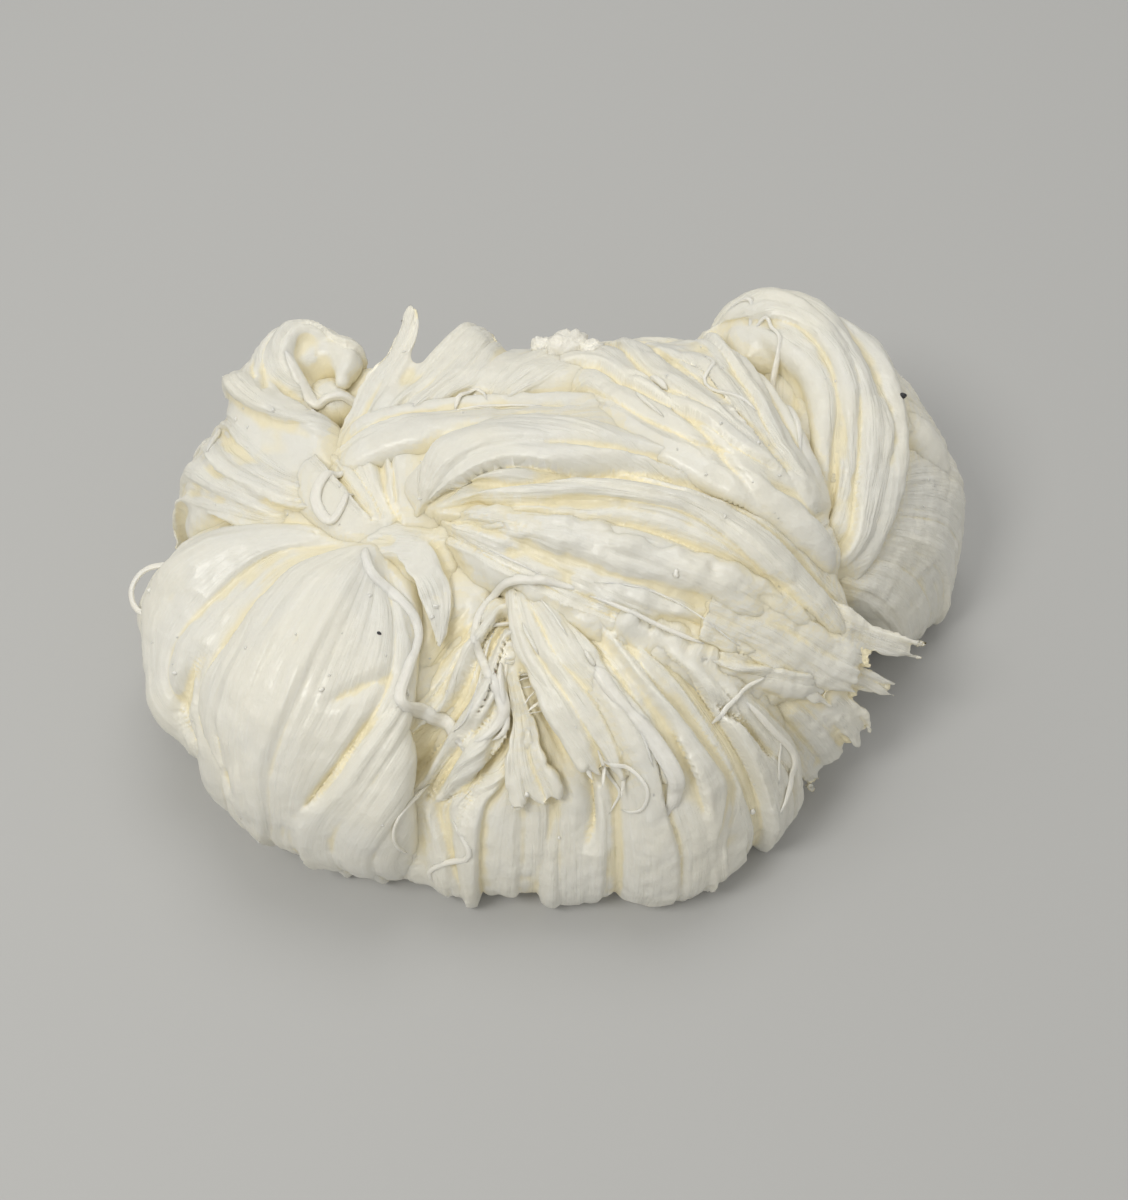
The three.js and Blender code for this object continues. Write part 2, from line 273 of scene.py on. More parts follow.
# ---- strands ---------------------------------------------------------------------------------
class Skein:
    """The vertices and faces of strands that are still separate. Each vertex has its fibre
    coordinates, which are its place in the straightened strand, and its spread, which is how
    far the fibres lie apart there as a part of their widest."""

    def __init__(self):
        self.points, self.fibres, self.spreads, self.quads, self.tris = [], [], [], [], []
        self.count = 0

    def keep(self, points, fibre, spread):
        """Adds vertices."""
        self.points.append(points)
        self.fibres.append(fibre)
        self.spreads.append(np.broadcast_to(spread, len(points)))
        self.count += len(points)

    def add(self, grid, fibre, poles=True):
        """A tube from a grid of points: rows along it and columns around it, with a pole in
        the middle of each end, unless its ends are flat slits. Faces point outwards."""
        rows, cols = grid.shape[:2]
        index = np.arange(rows * cols).reshape(rows, cols) + self.count
        nxt = np.roll(index, -1, axis=1)
        self.quads.append(np.stack([index[:-1], nxt[:-1], nxt[1:], index[1:]], -1).reshape(-1, 4))
        start, end = self.count + rows * cols, self.count + rows * cols + 1
        first, last = index[0], index[-1]
        self.keep(grid.reshape(-1, 3), fibre.reshape(-1, 3), 1)
        if poles:
            self.tris.append(np.stack([np.full(cols, start), np.roll(first, -1), first], -1))
            self.tris.append(np.stack([np.full(cols, end), last, np.roll(last, -1)], -1))
            self.keep(grid[[0, -1]].mean(1), fibre[[0, -1]].mean(1), 1)

    def add_sheet(self, grid, fibre, spread):
        """An open sheet from a grid of points."""
        rows, cols = grid.shape[:2]
        index = np.arange(rows * cols).reshape(rows, cols) + self.count
        corners = [index[:-1, :-1], index[:-1, 1:], index[1:, 1:], index[1:, :-1]]
        self.quads.append(np.stack(corners, -1).reshape(-1, 4))
        self.keep(grid.reshape(-1, 3), fibre.reshape(-1, 3), spread.ravel())

    def add_mesh(self, mesh):
        """A closed mesh of four-sided faces, with its fibre coordinates."""
        self.quads.append(face_corners(mesh).reshape(-1, 4) + self.count)
        self.keep(hank_places(mesh), fibres(mesh), 1)

    def add_skein(self, other):
        """Another skein's vertices and faces."""
        self.quads += [quads + self.count for quads in other.quads]
        self.tris += [tris + self.count for tris in other.tris]
        self.points += other.points
        self.fibres += other.fibres
        self.spreads += other.spreads
        self.count += other.count

    def arrays(self):
        """All points, fibre coordinates, spreads and faces."""
        faces = [face for group in self.quads + self.tris for face in group.tolist()]
        return *(np.concatenate(rows) for rows in (self.points, self.fibres, self.spreads)), faces


def fullness(along, taper):
    """The size along a strand: it rises over a quarter sine from its start and falls over
    another to its end."""
    rise = np.sin(np.minimum(along / DRAWN_IN[0], 1) * math.pi / 2)
    fall = np.sin(np.minimum((1 - along) / DRAWN_IN[1], 1) * math.pi / 2)
    return (taper[0] + (1 - taper[0]) * rise) * (taper[1] + (1 - taper[1]) * fall)


def outward(points):
    """The way out of the hank: the slope of the round form that the strands lie over."""
    return unit((points - DOME["centre"]) / DOME["reach"] ** 2)


def strand(skein, route, form, seed, size=1.0, lift=0.0, tilt=0.0):
    """A section carried along a route. The section is an ellipse whose outline swells between
    grooves: two layers of |noise|, wide folds and narrow strings, that are long along the
    strand and turn with its twist. A tilt leans the section to one side, in radians."""
    route = evenly(route, form.get("step", ROUTE_STEP))
    rows = len(route)
    along = np.linspace(0, 1, rows)[:, None]
    side, up, upright = section_ways(route, tilt)
    gone = lengths(route)[:, None]

    wide = form["wide"] if isinstance(form["wide"], tuple) else (form["wide"],) * 2
    swell = 1 + form.get("lumps", 0.06) * wave(gone, SWELLING, seed + 900)
    full = fullness(along, form.get("taper", (0.6, 0.7))) * size * swell
    half_wide = full * (wide[0] + (wide[1] - wide[0]) * along) / 2
    half_thick = full * form["thick"] / 2
    perimeter = math.pi * float(np.median(half_wide + half_thick))
    cols = max(int(perimeter / SECTION_STEP), 12)
    turn = np.arange(cols)[None, :] / cols
    angle = turn * 2 * math.pi
    wander = WANDERING[1] * wave(gone, WANDERING[0], seed + 500)
    wound = turn - (along * form.get("twist", 0.3) / 2 + wander / 6)

    relief = 0
    for layer, (kind, long) in enumerate(GROOVES):
        spacing, depth = form[kind]
        cells = max(int(round(perimeter / spacing)), 3)
        grooves = ripple(gone / long, wound, cells, seed + 37 * layer)
        relief = relief + depth * (np.sqrt(grooves**2 + 0.004) * 2 - 0.9)
    relief = relief * np.minimum(np.minimum(along, 1 - along) / SMOOTH_ENDS, 1)

    middle = route + upright * (lift * np.sin(math.pi * along))
    cos, sin = np.cos(angle)[..., None], np.sin(angle)[..., None]
    wide_way, thick_way = (half_wide + relief)[..., None], (half_thick + relief)[..., None]
    grid = middle[:, None] + side[:, None] * wide_way * cos + up[:, None] * thick_way * sin
    radius = perimeter / (2 * math.pi)
    fibre = straightened(
        radius * np.cos(wound * 2 * math.pi), radius * np.sin(wound * 2 * math.pi), gone, seed)
    skein.add(grid[:, ::-1], fibre[:, ::-1])


def straightened(across, over, gone, seed):
    """Fibre coordinates from places across, over and along a strand, each strand's moved off by
    lengths of its own, so that no two have the same grain."""
    return np.stack(np.broadcast_arrays(
        across + 50 * draw(seed + 0.1), over + 50 * draw(seed + 0.2), gone + 40 * draw(seed + 0.4)), -1)


def section_ways(route, tilt):
    """For every point of a route: the ways to its side and up through its section, and the
    way up without the tilt."""
    tangent = unit(np.gradient(route, axis=0))
    level = unit(np.cross(outward(route), tangent))
    upright = np.cross(tangent, level)
    side = level * math.cos(tilt) + upright * math.sin(tilt)
    up = upright * math.cos(tilt) - level * math.sin(tilt)
    return side, up, upright


def ribbon(skein, route, form, seed, tilt=0.0):
    """A flat band carried along a route. Its section is a thin ellipse. Its two edges are
    ragged: each has noise of its own on its half of the width. Its faces are drawn out along
    the fibres in the way of a skin."""
    route = evenly(route, RIBBON_STEP)
    along = np.linspace(0, 1, len(route))[:, None]
    side, up, _ = section_ways(route, tilt)
    gone = lengths(route)[:, None]
    full = fullness(along, form["taper"])
    half_wide, half_thick = full * form["wide"] / 2, full * form["thick"] / 2
    cols = 2 * max(int(form["wide"] * 1.15 / SECTION_STEP), 7)
    angle = (np.arange(cols)[None, :] + 0.5) * 2 * math.pi / cols
    cos, sin = np.cos(angle), np.sin(angle)

    edge = edge_wave(gone, EDGE_NOISE["rag"], cos, seed + 71)
    fine = edge_wave(gone, EDGE_NOISE["fine"], cos, seed + 73)
    sway = 0.22 * edge_wave(gone, EDGE_NOISE["sway"], cos, seed + 75)
    across = half_wide * cos * (1 + sway) + form["wide"] * form["rag"] * (edge + 0.5 * fine) * cos**3
    fibre = straightened(across, 1.5 * sin, gone, seed)
    swell = folded(fibre.reshape(-1, 3), form["relief"], seed).reshape(fibre.shape[:2])
    flutter = 0.3 * ripple(gone / 6, cos / 4, 5, seed + 77)
    above = half_thick * sin + swell * np.abs(sin) ** 0.5 * np.sign(sin) * 0.8 + flutter
    grid = route[:, None] + side[:, None] * across[..., None] + up[:, None] * above[..., None]
    skein.add(grid[:, ::-1], fibre[:, ::-1])


def family(skein, group, route_of, seed):
    """The strands of a fan or a rope, unevenly spread from one side to the other."""
    count = group["count"]
    for i in range(count):
        moved = (i + UNEVEN["place"] * draw(seed + i)) / (count - 1)
        across = min(max(moved, 0), 1)
        scale = 1 + UNEVEN["size"] * draw(seed + i + 0.3)
        lift = UNEVEN["lift"] * draw(seed + i + 0.7)
        strand(skein, route_of(group, across), group, seed + i, scale, lift)


def fan(skein, form, seed):
    """The strands of a fan."""
    family(skein, form, fan_route, seed)


def rope(skein, form, seed):
    """The strands of a rope."""
    family(skein, form, rope_route, seed)


def single(skein, form, seed):
    """One strand on a route of its own."""
    strand(skein, spline(form["route"], MARKS), form, seed)


def core(skein, form, seed):
    """The dome under the strands: superelliptic rings that draw in with height."""
    level = np.sin(np.linspace(0, 1.5, 40))[:, None]
    reach = (1 - level ** form["power"]) ** (1 / form["power"])
    angle = np.linspace(0, 2 * math.pi, 160, endpoint=False)[None, :]
    x = form["x"] + form["rx"] * reach * np.cos(angle)
    y = form["y"] + form["ry"] * reach * np.sin(angle)
    grid = np.stack(np.broadcast_arrays(x, y, level * form["height"]), -1)
    skein.add(grid, grid)


def sheaf(skein, form, seed):
    """Strands laid over the hank between guide lines. They differ in width, thickness, lean,
    depth and length, and drift a little across their neighbours."""
    count, lines = form["count"], guide_lines(form)
    first, last = form.get("ragged", (0.03, 0.06))
    for i in range(count):
        chance = [draw(seed + i + k / 7) for k in range(8)]
        drift = chance[0] * (MARKS - 0.5)
        route = between(lines, (i + 0.5 + 0.45 * chance[1] + drift) / count)
        thick = form["thick"] * math.exp(0.25 * chance[3])
        shape = {**form, "wide": form["wide"] * math.exp(0.4 * chance[2]), "thick": thick}
        kept = MARKS >= first * (1 + chance[4])
        if not form.get("foot"):
            kept &= MARKS <= 1 - last * (1 + chance[5])
        route = route[kept]
        place = np.linspace(0, 1, len(route))
        end = SUNK_ENDS["part"]
        dip = np.maximum(1 - place / end, 0) ** 2 + np.maximum((place - (1 - end)) / end, 0) ** 2
        depth = form["sunk"] * thick + 0.35 * chance[6] + SUNK_ENDS["depth"] * thick * dip
        maker = ribbon if "relief" in form else strand
        maker(skein, laid(route, depth), shape, seed + i, tilt=form["lean"] * chance[7])


def sheet(skein, form, seed):
    """The sheet through a form's guide lines. It only gives the skin near it its fibre
    coordinates: x runs across the guide lines and z along them."""
    lines = guide_lines(form)
    columns = np.linspace(0, 1, 8 * (len(lines) - 1) + 1)
    grid = np.stack([between(lines, np.full(len(MARKS), across)) for across in columns], 1)
    width = np.linalg.norm(np.diff(grid, axis=1), axis=2).sum(1)
    along = lengths(grid.mean(1))
    x = np.broadcast_to(columns * width.max() + 60 * draw(seed), grid.shape[:2])
    z = np.broadcast_to(along[:, None], grid.shape[:2])
    spread = np.broadcast_to((width / width.max())[:, None], grid.shape[:2])
    skein.add_sheet(grid, np.stack([x, np.zeros_like(x), z], -1), spread)


def teeth(across, count, seed):
    """How far a torn edge falls short, from 0 to 1: a row of teeth of uneven width and height,
    each rising to a tip of its own by a power of 0.8 and falling again."""
    chance = np.random.default_rng(seed)
    edges = np.concatenate([[0], np.cumsum(0.4 + chance.random(count))])
    edges = edges / edges[-1]
    tooth = np.minimum(np.searchsorted(edges, across, "right") - 1, count - 1)
    part = (across - edges[tooth]) / (edges[tooth + 1] - edges[tooth])
    tip = (0.25 + 0.5 * chance.random(count))[tooth]
    high = (0.6 + 0.4 * chance.random(count))[tooth]
    return 1 - high * np.minimum(part / tip, (1 - part) / (1 - tip)) ** 0.8


def slab(skein, form, seed):
    """A thick sheet through guide lines, drawn thin to its two sides, which are ragged. Its
    end is torn into teeth, thins out towards them and flutters. A section goes out on top and
    back below."""
    lines = guide_lines(form)
    across = np.linspace(0, 1, form.get("columns", 70))
    rows = MARKS[:, None]
    place = rows * (1 - form["torn"] * teeth(across, form["teeth"], seed))
    rag = form.get("rag", 0)
    near_first, near_last = (1 - np.minimum(part / 0.3, 1) for part in (across, 1 - across))
    drawn = rag * ripple(place * 14, 0 * across + 0.1, 3, seed + 5) * near_first
    drawn = drawn - rag * ripple(place * 14, 0 * across + 0.1, 3, seed + 6) * near_last
    top = on_lines(lines, place, across + drawn)
    flutter = 0.5 * rows**2 * ripple(rows * 3, across[None, :] * 0.99, 6, seed + 3)
    top = top + outward(top) * (form.get("raised", 0) + flutter)[..., None]
    side = np.minimum(np.minimum(across, 1 - across) / 0.15, 1) ** 0.5
    end = 0.45 + 0.55 * np.minimum((1 - rows) / 0.3, 1)
    below = top - outward(top) * (form["thick"] * end * side)[..., None]
    grid = np.concatenate([top, below[::-1]], 0).transpose(1, 0, 2)
    skein.add(grid, grid, poles=False)


def strings(skein, form, seed):
    """Fine strings that lie along a form's guide lines, here and there: round, of any length,
    and a little off the way of the fibres."""
    lines = guide_lines(form)
    for i in range(form["count"]):
        chance = [0.5 + 0.5 * draw(seed + i * 1.7 + k / 9) for k in range(8)]
        start = 0.75 * chance[0]
        kept = (MARKS >= start) & (MARKS <= start + 0.1 + 0.35 * chance[1])
        if kept.sum() < 5:
            continue
        sway = 0.5 * form.get("sway", 1.0) / len(lines)
        sway = sway * np.sin(MARKS * (8 + 14 * chance[3]) + 6 * chance[4])
        route = between(lines, chance[2] + sway)[kept]
        wide = form.get("string_wide", 0.9) * (0.6 + 0.9 * chance[5] ** 2)
        route = rested(route, 0.15 * wide)
        fine = {"wide": wide, "thick": wide, **FINE_STRING}
        strand(skein, route, fine, seed + i, lift=0.7 * chance[6] ** 2)


def thread(skein, form, seed):
    """A thread on a route of its own. Unless it is free it rests on the pieces made before it,
    half sunk in their skin, and its two ends dip into them."""
    route = evenly(spline(form["route"], np.linspace(0, 1, 120)), 0.6)
    wide = form["wide"]
    if not form.get("free"):
        route = rested(route, form["raised"])
        along = np.linspace(0, 1, len(route))
        dip = np.maximum(1 - np.minimum(along, 1 - along) / 0.14, 0) ** 2
        route = route - outward(route) * (0.6 * wide * dip)[:, None]
    strand(skein, route, {"wide": wide, "thick": 0.65 * wide, **ROUND_THREAD}, seed)


def fray(skein, form, seed):
    """Torn ends: tapered spikes that start along an edge and point away from it, spread and
    bent at random."""
    for i in range(form["count"]):
        chance = [draw(seed + i * 1.3 + k / 9) for k in range(9)]
        start = by_length(form["edge"], (i + 0.5 + 0.4 * chance[0]) / form["count"])
        way = unit(np.array(form["way"], float) + form["spread"] * np.array(chance[1:4]))
        bend = 0.25 * np.array(chance[4:7])
        short, long = form["long"]
        reach = short + (long - short) * (0.5 + 0.5 * chance[7]) ** 1.5
        gone = np.linspace(-0.45, 1, 14)[:, None]
        route = start + reach * (gone * way + np.maximum(gone, 0) ** 2 * bend)
        wide = form["wide"] * (1 + 0.45 * chance[8])
        shape = {"wide": wide, "thick": 0.6 * wide, **TORN_SPIKE}
        strand(skein, route, shape, seed + i, tilt=1.2 * chance[0])


def ball(rows, columns):
    """A ball of radius 1 as a grid from pole to pole: sin(a) cos(b), sin(a) sin(b), cos(a)."""
    down = np.linspace(0, math.pi, rows)[:, None]
    around = np.linspace(0, 2 * math.pi, columns, endpoint=False)
    return np.stack(np.broadcast_arrays(
        np.sin(down) * np.cos(around), np.sin(down) * np.sin(around), np.cos(down)), -1)


def crumb(skein, form, seed):
    """A crumb of curd: a ball whose radius has noise of two sizes, stretched to its three
    sizes."""
    whole = ball(20, 28)[1:-1]
    flat = whole.reshape(-1, 3)
    radius = 0.9 + 0.3 * noise(flat * 1.3, seed) + 0.45 * abs(noise(flat * 2.6, seed + 1))
    radius = radius + 0.1 * noise(flat * 7, seed + 2)
    size = np.array(form["size"], float) / 2
    grid = np.array(form["place"], float) + (flat * radius[:, None] * size).reshape(whole.shape)
    skein.add(grid, grid)


def grains(pieces, count, seed):
    """Grains of curd scattered over pieces, where a noise is high: balls of rings whose radius
    has noise, each stretched in its own three ways and half sunk in the skin."""
    chance = np.random.default_rng(seed)
    places = np.concatenate([hank_places(piece.data) for piece in pieces])
    ways = np.concatenate([normals(piece.data) for piece in pieces])
    wanted = np.flatnonzero((noise(places / 11, seed) > 0.15) & (ways[:, 2] > -0.2))
    picked = chance.choice(wanted, count, replace=False)
    size = 0.2 + 0.4 * chance.random(count) ** 3
    rows, columns = 7, 8
    shape = ball(rows, columns).reshape(1, -1, 3) * (0.6 + 0.9 * chance.random((count, 1, 3)))
    apart = (shape * 1.7 + 40 * chance.random((count, 1, 3))).reshape(-1, 3)
    rough = 1 + 0.5 * noise(apart, seed + 1)
    middle = places[picked] - ways[picked] * size[:, None] * 0.15
    grid = middle[:, None] + shape * rough.reshape(count, -1, 1) * size[:, None, None]
    made = Skein()
    for points in grid.reshape(count, rows, columns, 3)[:, 1:-1]:
        made.add(points, points)
    return made


def seed_grain(skein, form, seed):
    """A small black seed, half sunk in the skin: an ellipsoid drawn out to a point at one end,
    as x = long cos(a), with its two radii sin(a) (1 - 0.3 cos(a)) times its thickness."""
    tip = np.linspace(0, math.pi, 13)[1:-1, None]
    around = np.linspace(0, 2 * math.pi, 16, endpoint=False)
    place = put_down(np.array([form["place"]], float), PIECES, np.zeros(1), 0, RESTING_REACH)[0]
    girth = np.sin(tip) * (1 - 0.3 * np.cos(tip)) * form["thick"] / 2
    long_way, side_way = unit(np.array(form["way"], float)), unit(np.cross(form["way"], (0, 0, 1.0)))
    up_way = np.cross(side_way, long_way)
    along = np.cos(tip)[..., None] * form["long"] / 2 * long_way
    beside, above = (girth * np.cos(around))[..., None], (girth * np.sin(around))[..., None]
    grid = place + (along + beside * side_way + above * up_way)
    skein.add(grid, grid)


# ---- meshes ----------------------------------------------------------------------------------
def new_object(name, points, faces):
    """A mesh object at the origin from points in the hank's own millimetres."""
    mesh = bpy.data.meshes.new(name)
    mesh.from_pydata((np.asarray(points) + SHIFT) * MM, [], faces)
    piece = bpy.data.objects.new(name, mesh)
    bpy.context.scene.collection.objects.link(piece)
    return piece


def vectors_of(items, name):
    """The vectors of a mesh's items as rows."""
    values = np.empty(len(items) * 3, np.float32)
    items.foreach_get(name, values)
    return values.reshape(-1, 3).astype(float)


def coordinates(mesh):
    """The points of a mesh, in metres."""
    return vectors_of(mesh.vertices, "co")


def hank_places(mesh):
    """The points of a mesh, in the hank's own millimetres."""
    return coordinates(mesh) / MM - SHIFT


def normals(mesh):
    """The normal at each point of a mesh."""
    return vectors_of(mesh.vertex_normals, "vector")


def fibres(mesh):
    """The fibre coordinates of a mesh's points, in millimetres."""
    return vectors_of(mesh.attributes["fibre"].data, "vector") / MM


def face_corners(mesh):
    """The points at the corners of a mesh's faces, one face after another."""
    corners = np.empty(len(mesh.loops), np.int32)
    mesh.loops.foreach_get("vertex_index", corners)
    return corners


def edge_ends(mesh):
    """The two points of each edge of a mesh, as two rows."""
    edges = np.empty(len(mesh.edges) * 2, np.int32)
    mesh.edges.foreach_get("vertices", edges)
    return edges.reshape(-1, 2).T


def keep_fibres(mesh, fibre):
    """Gives the points of a mesh their fibre coordinates."""
    layer = mesh.attributes.new("fibre", "FLOAT_VECTOR", "POINT")
    layer.data.foreach_set("vector", (fibre * MM).astype(np.float32).ravel())


def keep_values(mesh, name, values):
    """Gives the points of a mesh an attribute."""
    layer = mesh.attributes.new(name, "FLOAT", "POINT")
    layer.data.foreach_set("value", values.astype(np.float32))


def set_coordinates(mesh, points):
    """Moves the points of a mesh."""
    mesh.vertices.foreach_set("co", points.astype(np.float32).ravel())
    mesh.update()


def fibre_carrier(source):
    """Geometry Nodes that give each point the fibre coordinates and the spread of the nearest
    place on the separate strands."""
    tree = bpy.data.node_groups.new("carry fibre", "GeometryNodeTree")
    tree.interface.new_socket("Geometry", in_out="INPUT", socket_type="NodeSocketGeometry")
    tree.interface.new_socket("Geometry", in_out="OUTPUT", socket_type="NodeSocketGeometry")
    link = tree.links.new
    info = tree.nodes.new("GeometryNodeObjectInfo")
    info.inputs["Object"].default_value = source
    flow = tree.nodes.new("NodeGroupInput").outputs[0]
    for name, kind in (("fibre", "FLOAT_VECTOR"), ("spread", "FLOAT")):
        named = tree.nodes.new("GeometryNodeInputNamedAttribute")
        nearest = tree.nodes.new("GeometryNodeSampleNearestSurface")
        store = tree.nodes.new("GeometryNodeStoreNamedAttribute")
        named.data_type = nearest.data_type = store.data_type = kind
        store.domain = "POINT"
        named.inputs["Name"].default_value = store.inputs["Name"].default_value = name
        link(info.outputs["Geometry"], nearest.inputs["Mesh"])
        link(named.outputs["Attribute"], nearest.inputs["Value"])
        link(flow, store.inputs["Geometry"])
        link(nearest.outputs["Value"], store.inputs["Value"])
        flow = store.outputs["Geometry"]
    link(flow, tree.nodes.new("NodeGroupOutput").inputs[0])
    return tree


def settle(piece):
    """Turns a piece's modifiers into its mesh."""
    graph = bpy.context.evaluated_depsgraph_get()
    seen = piece.evaluated_get(graph)
    made = bpy.data.meshes.new_from_object(seen, preserve_all_data_layers=True, depsgraph=graph)
    piece.modifiers.clear()
    piece.data = made
    piece.data.name = piece.name


def fuse(name, skein, guide, voxel, soften):
    """Strands grown together: the skin round them all. It is blown up, made one skin again and
    let down, which shuts narrow gaps, and then softened by steps towards the mean of the
    neighbouring points. It stands on the ground. The fibre coordinates come from the strands
    and sheets of the guide."""
    source_points, fibre, spread, source_faces = guide.arrays()
    source = new_object(name + "_strands", source_points, source_faces)
    keep_fibres(source.data, fibre)
    keep_values(source.data, "spread", spread)
    points, _, _, faces = skein.arrays()
    points[:, 2] = np.maximum(points[:, 2], 0)
    piece = new_object(name, points, faces)
    for way in (1, -1):
        remesh = piece.modifiers.new("grown together", "REMESH")
        remesh.mode, remesh.voxel_size, remesh.use_smooth_shade = "VOXEL", voxel * MM, True
        swell = piece.modifiers.new("blown up or let down", "DISPLACE")
        swell.strength, swell.mid_level = way * CLOSED * MM, 0
    smooth = piece.modifiers.new("softened", "SMOOTH")
    smooth.factor, smooth.iterations = 0.5, soften
    piece.modifiers.new("fibre", "NODES").node_group = fibre_carrier(source)
    settle(piece)
    bpy.data.objects.remove(source)
    return piece


def loose(name, skein):
    """Strands that stay separate, as one piece."""
    points, fibre, _, faces = skein.arrays()
    points[:, 2] = np.maximum(points[:, 2], 0)
    piece = new_object(name, points, faces)
    keep_fibres(piece.data, fibre)
    piece.data.shade_smooth()
    return piece


def folded(fibre, relief, seed):
    """How far a skin stands out at fibre coordinates. Each layer of the relief adds
    depth * (2 sqrt(n^2 + 0.01) - 0.7), with n the noise on the coordinates over the layer's
    spacing across and its length along, so that round strings lie between sharp creases."""
    fibre = fibre.copy()
    fibre[:, 0] += 1.6 * noise(fibre / (9, 9, 22), seed)
    out = 0
    for k, (spacing, long, depth) in enumerate(relief):
        n = noise(fibre / (spacing, spacing, long), seed + 2 + k)
        share = 0.65 + 0.7 * noise(fibre / 15, seed + 12 + k)
        out = out + share * depth * (2 * np.sqrt(n * n + 0.01) - 0.7)
    return out


def banded(fibre, spacing, long, depth, seed):
    """How far a skin of bands stands out at fibre coordinates. The bands lie side by side, a
    spacing wide, and wander. Each has a height and a lean of its own that change along it,
    and is round across by 1 - |2s - 1|^3, with s the part from one edge to the other. Over a
    short seam its outline goes over to the next band's."""
    x, z = fibre[:, 0] / spacing, fibre[:, 2] / long
    x = x + 0.55 * noise(np.stack([x * 0.7, 0 * z, z * 1.5], -1), seed)
    band = np.floor(x)
    part = x - band

    def outline(band, part):
        high = noise(np.stack([band, 0 * z, z], -1), seed + 1)
        lean = noise(np.stack([band, 0 * z + 9, z], -1), seed + 1)
        return high + 0.7 * lean * (2 * part - 1) + 0.55 * (1 - np.abs(2 * part - 1) ** 3)

    seam = np.clip(1 - (1 - part) * spacing / SEAM, 0, 1)
    seam = seam * seam * (3 - 2 * seam)
    return depth * (outline(band, part) * (1 - seam) + outline(band + 1, 0 * part) * seam - 0.4)


def creased(points, ways, creases):
    """How far a skin sinks along creases. Within a crease's width it sinks by
    deep * (1 - d / wide)^1.5, with d the distance from its route seen from above the skin."""
    sunk = np.zeros(len(points))
    for route, wide, deep in creases:
        curve = evenly(spline(route, MARKS), 0.8)
        low, high = curve.min(0) - 8, curve.max(0) + 8
        near = np.flatnonzero(np.all((points > low) & (points < high), axis=1))
        away = points[near, None] - curve
        closest = np.argmin(np.sum(away**2, -1), axis=1)
        away = away[np.arange(len(near)), closest]
        height = np.sum(away * ways[near], -1)
        beside = np.sqrt(np.maximum(np.sum(away**2, -1) - height**2, 0))
        ends = np.minimum(closest, len(curve) - 1 - closest) / (0.25 * len(curve))
        share = np.clip(1 - beside / wide, 0, 1) ** 1.5 * np.clip(ends, 0, 1) * (abs(height) < 7)
        sunk[near] = np.maximum(sunk[near], deep * share)
    return sunk


def mark_seams(mesh, points, fibre):
    """Gives back the points where the fibres of one guide sheet meet another's, so that an edge
    spans far more fibre than its own length. The attribute "seam" says how crowded the fibres
    are: it rises from 0 to 1 as an edge spans CROWDED times its length, and two rings of
    neighbours share the highest value near them."""
    a, b = edge_ends(mesh)
    long = np.linalg.norm(points[a] - points[b], axis=1) / MM
    span = np.linalg.norm(fibre[a] - fibre[b], axis=1)
    torn = span > 6 * long + 4
    met = np.zeros((len(points), 1))
    met[a[torn]] = met[b[torn]] = 1
    crowd = np.clip((span / long - CROWDED[0]) / (CROWDED[1] - CROWDED[0]), 0, 1)
    seam = np.zeros(len(points))
    np.maximum.at(seam, a, crowd)
    np.maximum.at(seam, b, crowd)
    for _ in range(2):
        ring = seam.copy()
        np.maximum.at(ring, a, seam[b])
        np.maximum.at(ring, b, seam[a])
        seam = ring
    keep_values(mesh, "seam", neighbour_mean(mesh, seam[:, None], 1)[:, 0])
    return met


def pull(piece, region, seed):
    """Draws a skin out along its fibres: bands, then fine relief. Where the fibres run
    together both are lower. Lumps have no direction, and creases have routes of their own."""
    mesh = piece.data
    points, fibre = coordinates(mesh), fibres(mesh)
    spread = np.empty(len(points), np.float32)
    mesh.attributes["spread"].data.foreach_get("value", spread)
    moved = folded(fibre, region["relief"], seed)
    for k, (spacing, long, depth) in enumerate(region.get("bands", [])):
        moved += banded(fibre, spacing, long, depth, seed + 60 + 5 * k)
    moved = (moved * np.clip(spread * 1.3, 0.1, 1))[:, None]
    near = np.clip(3 * neighbour_mean(mesh, mark_seams(mesh, points, fibre), 6), 0, 1)
    moved = (moved * (1 - near) + neighbour_mean(mesh, moved, 8) * near)[:, 0]
    moved -= creased(points / MM - SHIFT, normals(mesh), region.get("creases", []))
    for k, (spacing, depth) in enumerate(region.get("lumps", LUMPS)):
        moved += depth * noise(points / MM / spacing, seed + 30 + k)
    points += normals(mesh) * moved[:, None] * MM
    points[:, 2] = np.maximum(points[:, 2], 0)
    set_coordinates(mesh, points)


def neighbour_mean(mesh, values, steps):
    """Values spread over a mesh: at each step a point takes the mean of its neighbours."""
    a, b = edge_ends(mesh)
    to, come = np.concatenate([a, b]), np.concatenate([b, a])
    count = len(mesh.vertices)
    share = 1 / np.maximum(np.bincount(to, minlength=count), 1)
    for _ in range(steps):
        values = np.stack([np.bincount(to, column[come], count) * share for column in values.T], -1)
    return values


def mark_hollows(piece, steps=60, depth=0.5):
    """How far each point lies below (positive) or above the evened-out skin, as a part of a
    depth, kept as the attribute "hollow", by which the curd's finish paints shade into the hollows."""
    mesh = piece.data
    points = coordinates(mesh)
    below = np.sum((neighbour_mean(mesh, points, steps) - points) * normals(mesh), axis=1) / MM
    keep_values(mesh, "hollow", np.clip(below / depth, -1, 1))


